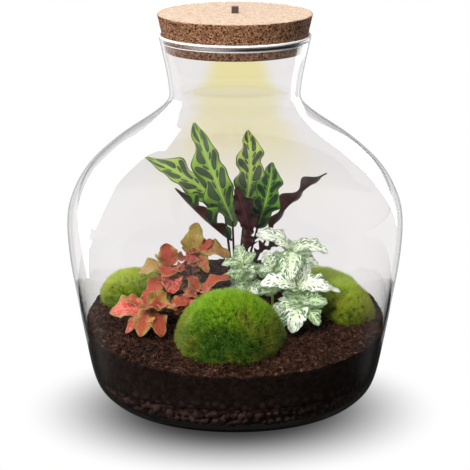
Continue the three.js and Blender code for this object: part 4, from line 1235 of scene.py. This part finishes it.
def white_nerve_skin():
    """White broad veins that leave dark green islands between them, smaller on a whiter leaf. It glows a
    little in its own colour, painted light that brightens the leaf."""
    leaf = Finish("white_nerve_skin")
    along, reach, layer, (green, chance, _), net, rib = leaf_veins(leaf, 12.0, 2.1)
    island = (net - 0.165 + green * 0.11 + reach * 0.07).smooth(0.0, 0.05)
    near_rib = reach.smooth(0.2, 0.08)
    on_rib = abs(rib).smooth(0.13, 0.05)
    island = island * (1 - near_rib.math("MAXIMUM", on_rib * 0.8))
    leafy = leaf.mix(chance, srgb(24, 66, 28), srgb(46, 98, 36))
    pale = leaf.mix(green, srgb(253, 255, 250), srgb(198, 224, 178))
    pale = leaf.mix((1 - along) * 0.35 + near_rib * 0.25, pale, srgb(190, 218, 122))
    upper = leaf.mix(island * 0.9, pale, leafy)
    upper = leaf.mix(reach.smooth(0.88, 0.98) * 0.55, upper, srgb(84, 128, 66))
    cloud = leaf.clouds(leaf.place(), 130.0, 3.0)
    below = leaf.mix(cloud, srgb(176, 198, 150), srgb(142, 172, 118))
    stem = leaf.mix(cloud, srgb(178, 196, 120), srgb(122, 150, 74))
    colour = layered(leaf, layer, upper, below, stem)
    relief = net.smooth(0.0, 0.2) * 0.5 + abs(rib) * 1.2
    # Painted light: the leaf glows a little in its own colour.
    painted_glow = {"Emission_Color": colour, "Emission_Strength": 0.2}
    return leaf.surface(colour, 0.45, relief, 0.5 * MM, Specular_IOR_Level=0.4, **painted_glow)


add_stems(WHITE_STEMS, WHITE_NERVE, white_nerve_skin(), "white_nerve_leaf", 80)

# ---------------------------------------------------------------------------------------------
# Studio
# A white floor under a tent that is white behind and dim in front, a soft box overhead and one in
# front to the left. Three bent light panels show only as reflections: two make the long white band
# on the left of the jar, and one makes the band on the right.
# ---------------------------------------------------------------------------------------------

# The jar's wall mirrors the floor close beside and in front of it onto the soil as a haze. So what
# shows through the glass is the floor close behind the jar and all round it from a third of a metre
# out, and what shows as a reflection is the floor behind, which lightens the jar's outline.
FLOOR_REACH = 20
FLOORS = {
    "white_floor": [
        (-FLOOR_REACH, -FLOOR_REACH), (FLOOR_REACH, -FLOOR_REACH),
        (FLOOR_REACH, FLOOR_REACH), (-FLOOR_REACH, FLOOR_REACH),
    ],
    "floor_close_behind": [(-0.16, 0.12), (0.16, 0.12), (0.25, 0.45), (-0.25, 0.45)],
    "floor_mirrored": [
        (-FLOOR_REACH, 0.22), (FLOOR_REACH, 0.22),
        (FLOOR_REACH, FLOOR_REACH), (-FLOOR_REACH, FLOOR_REACH),
    ],
}
FAR_FLOOR_FROM = 0.35
# How bright the floor is through the glass, and the pool of yellow on the floor behind: painted lamp light,
# which shows through the neck from the front as the lamp's beam.
FLOOR_THROUGH_GLASS = 0.955
POOL_STRENGTH = 0.53
POOL_COLOUR = (0.97, 0.85, 0.0, 1)
POOL_MIDDLE = 0.006
POOL_HALF_WIDTH = 0.128
POOL_NARROWING = 0.05
# Across, in half widths, and towards the back, in metres: where the pool and the shade round it
# start and where they are full, and at the back where they end.
POOL_SIDES, POOL_NEAR, POOL_FAR = (1.5, 0.6), (0.55, 1.35), (2.2, 1.6)
LID_SHADE = 0.07
SHADE_SIDES, SHADE_NEAR, SHADE_FAR = (2.6, 0.8), (0.65, 0.95), (1.6, 1.2)
# The tent's light, and its share of it above in front, below, and at each side below.
TENT_LIGHT = 0.75
TENT_FRONT = (0.2, 0.2, 0.2, 1)
TENT_BELOW = (0.018, 0.017, 0.016, 1)
TENT_SIDES = (0.4, 0.4, 0.4, 1)
SHADOW_PLACE = (-0.002, -0.028)
# The shadow's grey at its darkest, and the distances from its middle where it starts and ends.
SHADOW_GREY = 0.05
SHADOW_START = 0.058
SHADOW_END = 0.163
PANEL_LIGHT = 7.0
# For each panel the radius and the height of the ball it is part of, then points of its outline:
# how far up, and from where to where round from the front, in degrees seen from the ball's middle.
PANELS = {
    "left_panel": (3.0, 0.0, [
        [-12, -129, -113], [4, -137, -105], [18, -154, -105], [24, -156, -107],
        [30, -168, -111], [39, -168, -122], [48, -157, -132], [54, -138, -130],
    ]),
    "left_tail": (0.25, 0.1, [[-12, -100, -98], [0, -103, -91], [11, -107, -88]]),
    "right_panel": (0.25, 0.1, [
        [3, 114, 116], [14, 109, 117], [22, 106, 122], [28, 105, 138], [38, 109, 139],
        [46, 113, 133], [54, 120, 122],
    ]),
}
CAMERA_PLACE = (0.0, -1.71, 0.5556)
CAMERA_PITCH = 14.0
CAMERA_LENS = 176.7
CAMERA_SENSOR = 36.0


def white_floor(name, pool):
    """White film lit from below, with a soft shadow painted round the foot. With a pool of 1 the floor is a
    little dimmer, and has a painted pool of yellow lamp light that grows stronger and narrower towards the
    back, with a painted soft shade round it."""
    white = Finish(name)
    across, back, _ = white.axes(white.place())
    x, y = across - SHADOW_PLACE[0], back - SHADOW_PLACE[1]
    from_shadow = (x * x + y * y) ** 0.5
    white_share = from_shadow.smooth(SHADOW_START, SHADOW_END)
    glow = white.mix(white_share, (SHADOW_GREY, SHADOW_GREY, SHADOW_GREY, 1), (1, 1, 1, 1))
    edge = abs(across - POOL_MIDDLE) / (POOL_HALF_WIDTH - back * POOL_NARROWING)
    # Painted light: the lamp's yellow pool, and painted shade round it.
    lit = edge.smooth(*POOL_SIDES) * back.smooth(*POOL_NEAR) * back.smooth(*POOL_FAR)
    glow = white.mix(lit * (pool * POOL_STRENGTH), glow, POOL_COLOUR)
    lid_shade = edge.smooth(*SHADE_SIDES) * back.smooth(*SHADE_NEAR) * back.smooth(*SHADE_FAR)
    glow = white.mix(lid_shade * (pool * LID_SHADE), glow, (0, 0, 0, 1))
    strength = 1.0 - pool * (1.0 - FLOOR_THROUGH_GLASS)
    return white.surface(
        (0, 0, 0, 1), 0.9, Specular_IOR_Level=0.0, Emission_Color=glow, Emission_Strength=strength
    )


floor_white = white_floor("white_floor", 0.0)
floor_in_glass = white_floor("floor_in_glass", 1.0)
floor_shapes = {
    name: (np.array([[x, y, 0] for x, y in corners]), [(0, 1, 2, 3)]) for name, corners in FLOORS.items()
}
far_floor = turned(np.array([[FAR_FLOOR_FROM, 0], [FLOOR_REACH, 0]]), 48)
floor_shapes["far_floor"] = (far_floor.reshape(-1, 3), grid_triangles(*far_floor.shape[:2]))
for name, (points, faces) in floor_shapes.items():
    in_glass = name in ("floor_close_behind", "far_floor")
    floor_mesh = bpy.data.meshes.new(name)
    floor_mesh.from_pydata(points.tolist(), [], [list(map(int, face)) for face in faces])
    floor_mesh.materials.append(floor_in_glass if in_glass else floor_white)
    floor = linked(name, floor_mesh)
    floor.visible_camera = name == "white_floor"
    floor.visible_transmission = in_glass
    floor.visible_glossy = name == "floor_mirrored"
    floor.visible_diffuse = False


def studio_tent():
    """The light that comes from all round: white above, dim above in front, and dark below but for
    a light part at each side, which the edges of the jar's neck show."""
    tent = Finish("studio_tent", "worlds")
    side, back, up = tent.axes(tent.node("TexCoord", output="Generated"))
    shallow = abs(side).smooth(0.5, 0.8) * up.smooth(-0.5, -0.3)
    below = tent.mix(shallow, TENT_BELOW, TENT_SIDES)
    above = tent.mix(back.smooth(-0.35, 0.2), TENT_FRONT, (1, 1, 1, 1))
    colour = tent.mix(up.smooth(-0.02, 0.05), below, above)
    light = tent.node("Background", {}, {"Color": colour, "Strength": TENT_LIGHT})
    tent.node("OutputWorld", {}, {"Surface": light})
    return tent.material


bpy.context.scene.world = studio_tent()

# name: width, power, place, and its tilt to the back and turn to the side in degrees
SOFT_BOXES = {
    "top_box": (0.7, 20, (-0.05, -0.3, 1.6), (11, 0)),
    "front_box": (0.5, 26, (-0.8, -1.3, 0.9), (62, -31)),
}
for name, (width, power, place, (tilt, side)) in SOFT_BOXES.items():
    lamp = bpy.data.lights.new(name, "AREA")
    lamp.size = width
    lamp.energy = power
    box = linked(name, lamp)
    box.location = place
    box.rotation_euler = (np.radians(tilt), 0, np.radians(side))
    box.visible_glossy = False
    box.visible_transmission = False


def panel_grid(distance, height, rows):
    """A patch of a ball round the jar: level lines whose ends run along a smooth curve."""
    up, start, end = smooth_line(np.array(rows, float), 48).T[..., None]
    around = np.radians(start + (end - start) * np.linspace(0, 1, 16))
    up = np.radians(up) + 0 * around
    ball = [np.sin(around) * np.cos(up), -np.cos(around) * np.cos(up), np.sin(up)]
    return np.stack(ball, -1) * distance + [0, 0, height]


def glowing(name, strength):
    """An even white glow."""
    glow = Finish(name)
    light = glow.node("Emission", {}, {"Strength": strength})
    glow.node("OutputMaterial", {}, {"Surface": light})
    return glow.material


for name, panel_form in PANELS.items():
    grid = panel_grid(*panel_form)
    here = np.arange(grid[..., 0].size).reshape(grid.shape[:2])
    corners = [here[:-1, :-1], here[:-1, 1:], here[1:, 1:], here[1:, :-1]]
    faces = np.stack(corners, -1).reshape(-1, 4)
    panel_mesh = bpy.data.meshes.new(name)
    panel_mesh.from_pydata(grid.reshape(-1, 3).tolist(), [], faces.tolist())
    panel_mesh.materials.append(glowing(name, PANEL_LIGHT))
    panel = linked(name, panel_mesh)
    panel.visible_camera = False
    panel.visible_diffuse = False
    panel.visible_shadow = False
    panel.visible_transmission = False

camera = bpy.data.cameras.new("camera")
camera.sensor_width = CAMERA_SENSOR
camera.lens = CAMERA_LENS
camera_object = linked("camera", camera)
camera_object.location = CAMERA_PLACE
camera_object.rotation_euler = (np.radians(90 - CAMERA_PITCH), 0, 0)
bpy.context.scene.camera = camera_object
bpy.context.scene.view_settings.view_transform = "Standard"
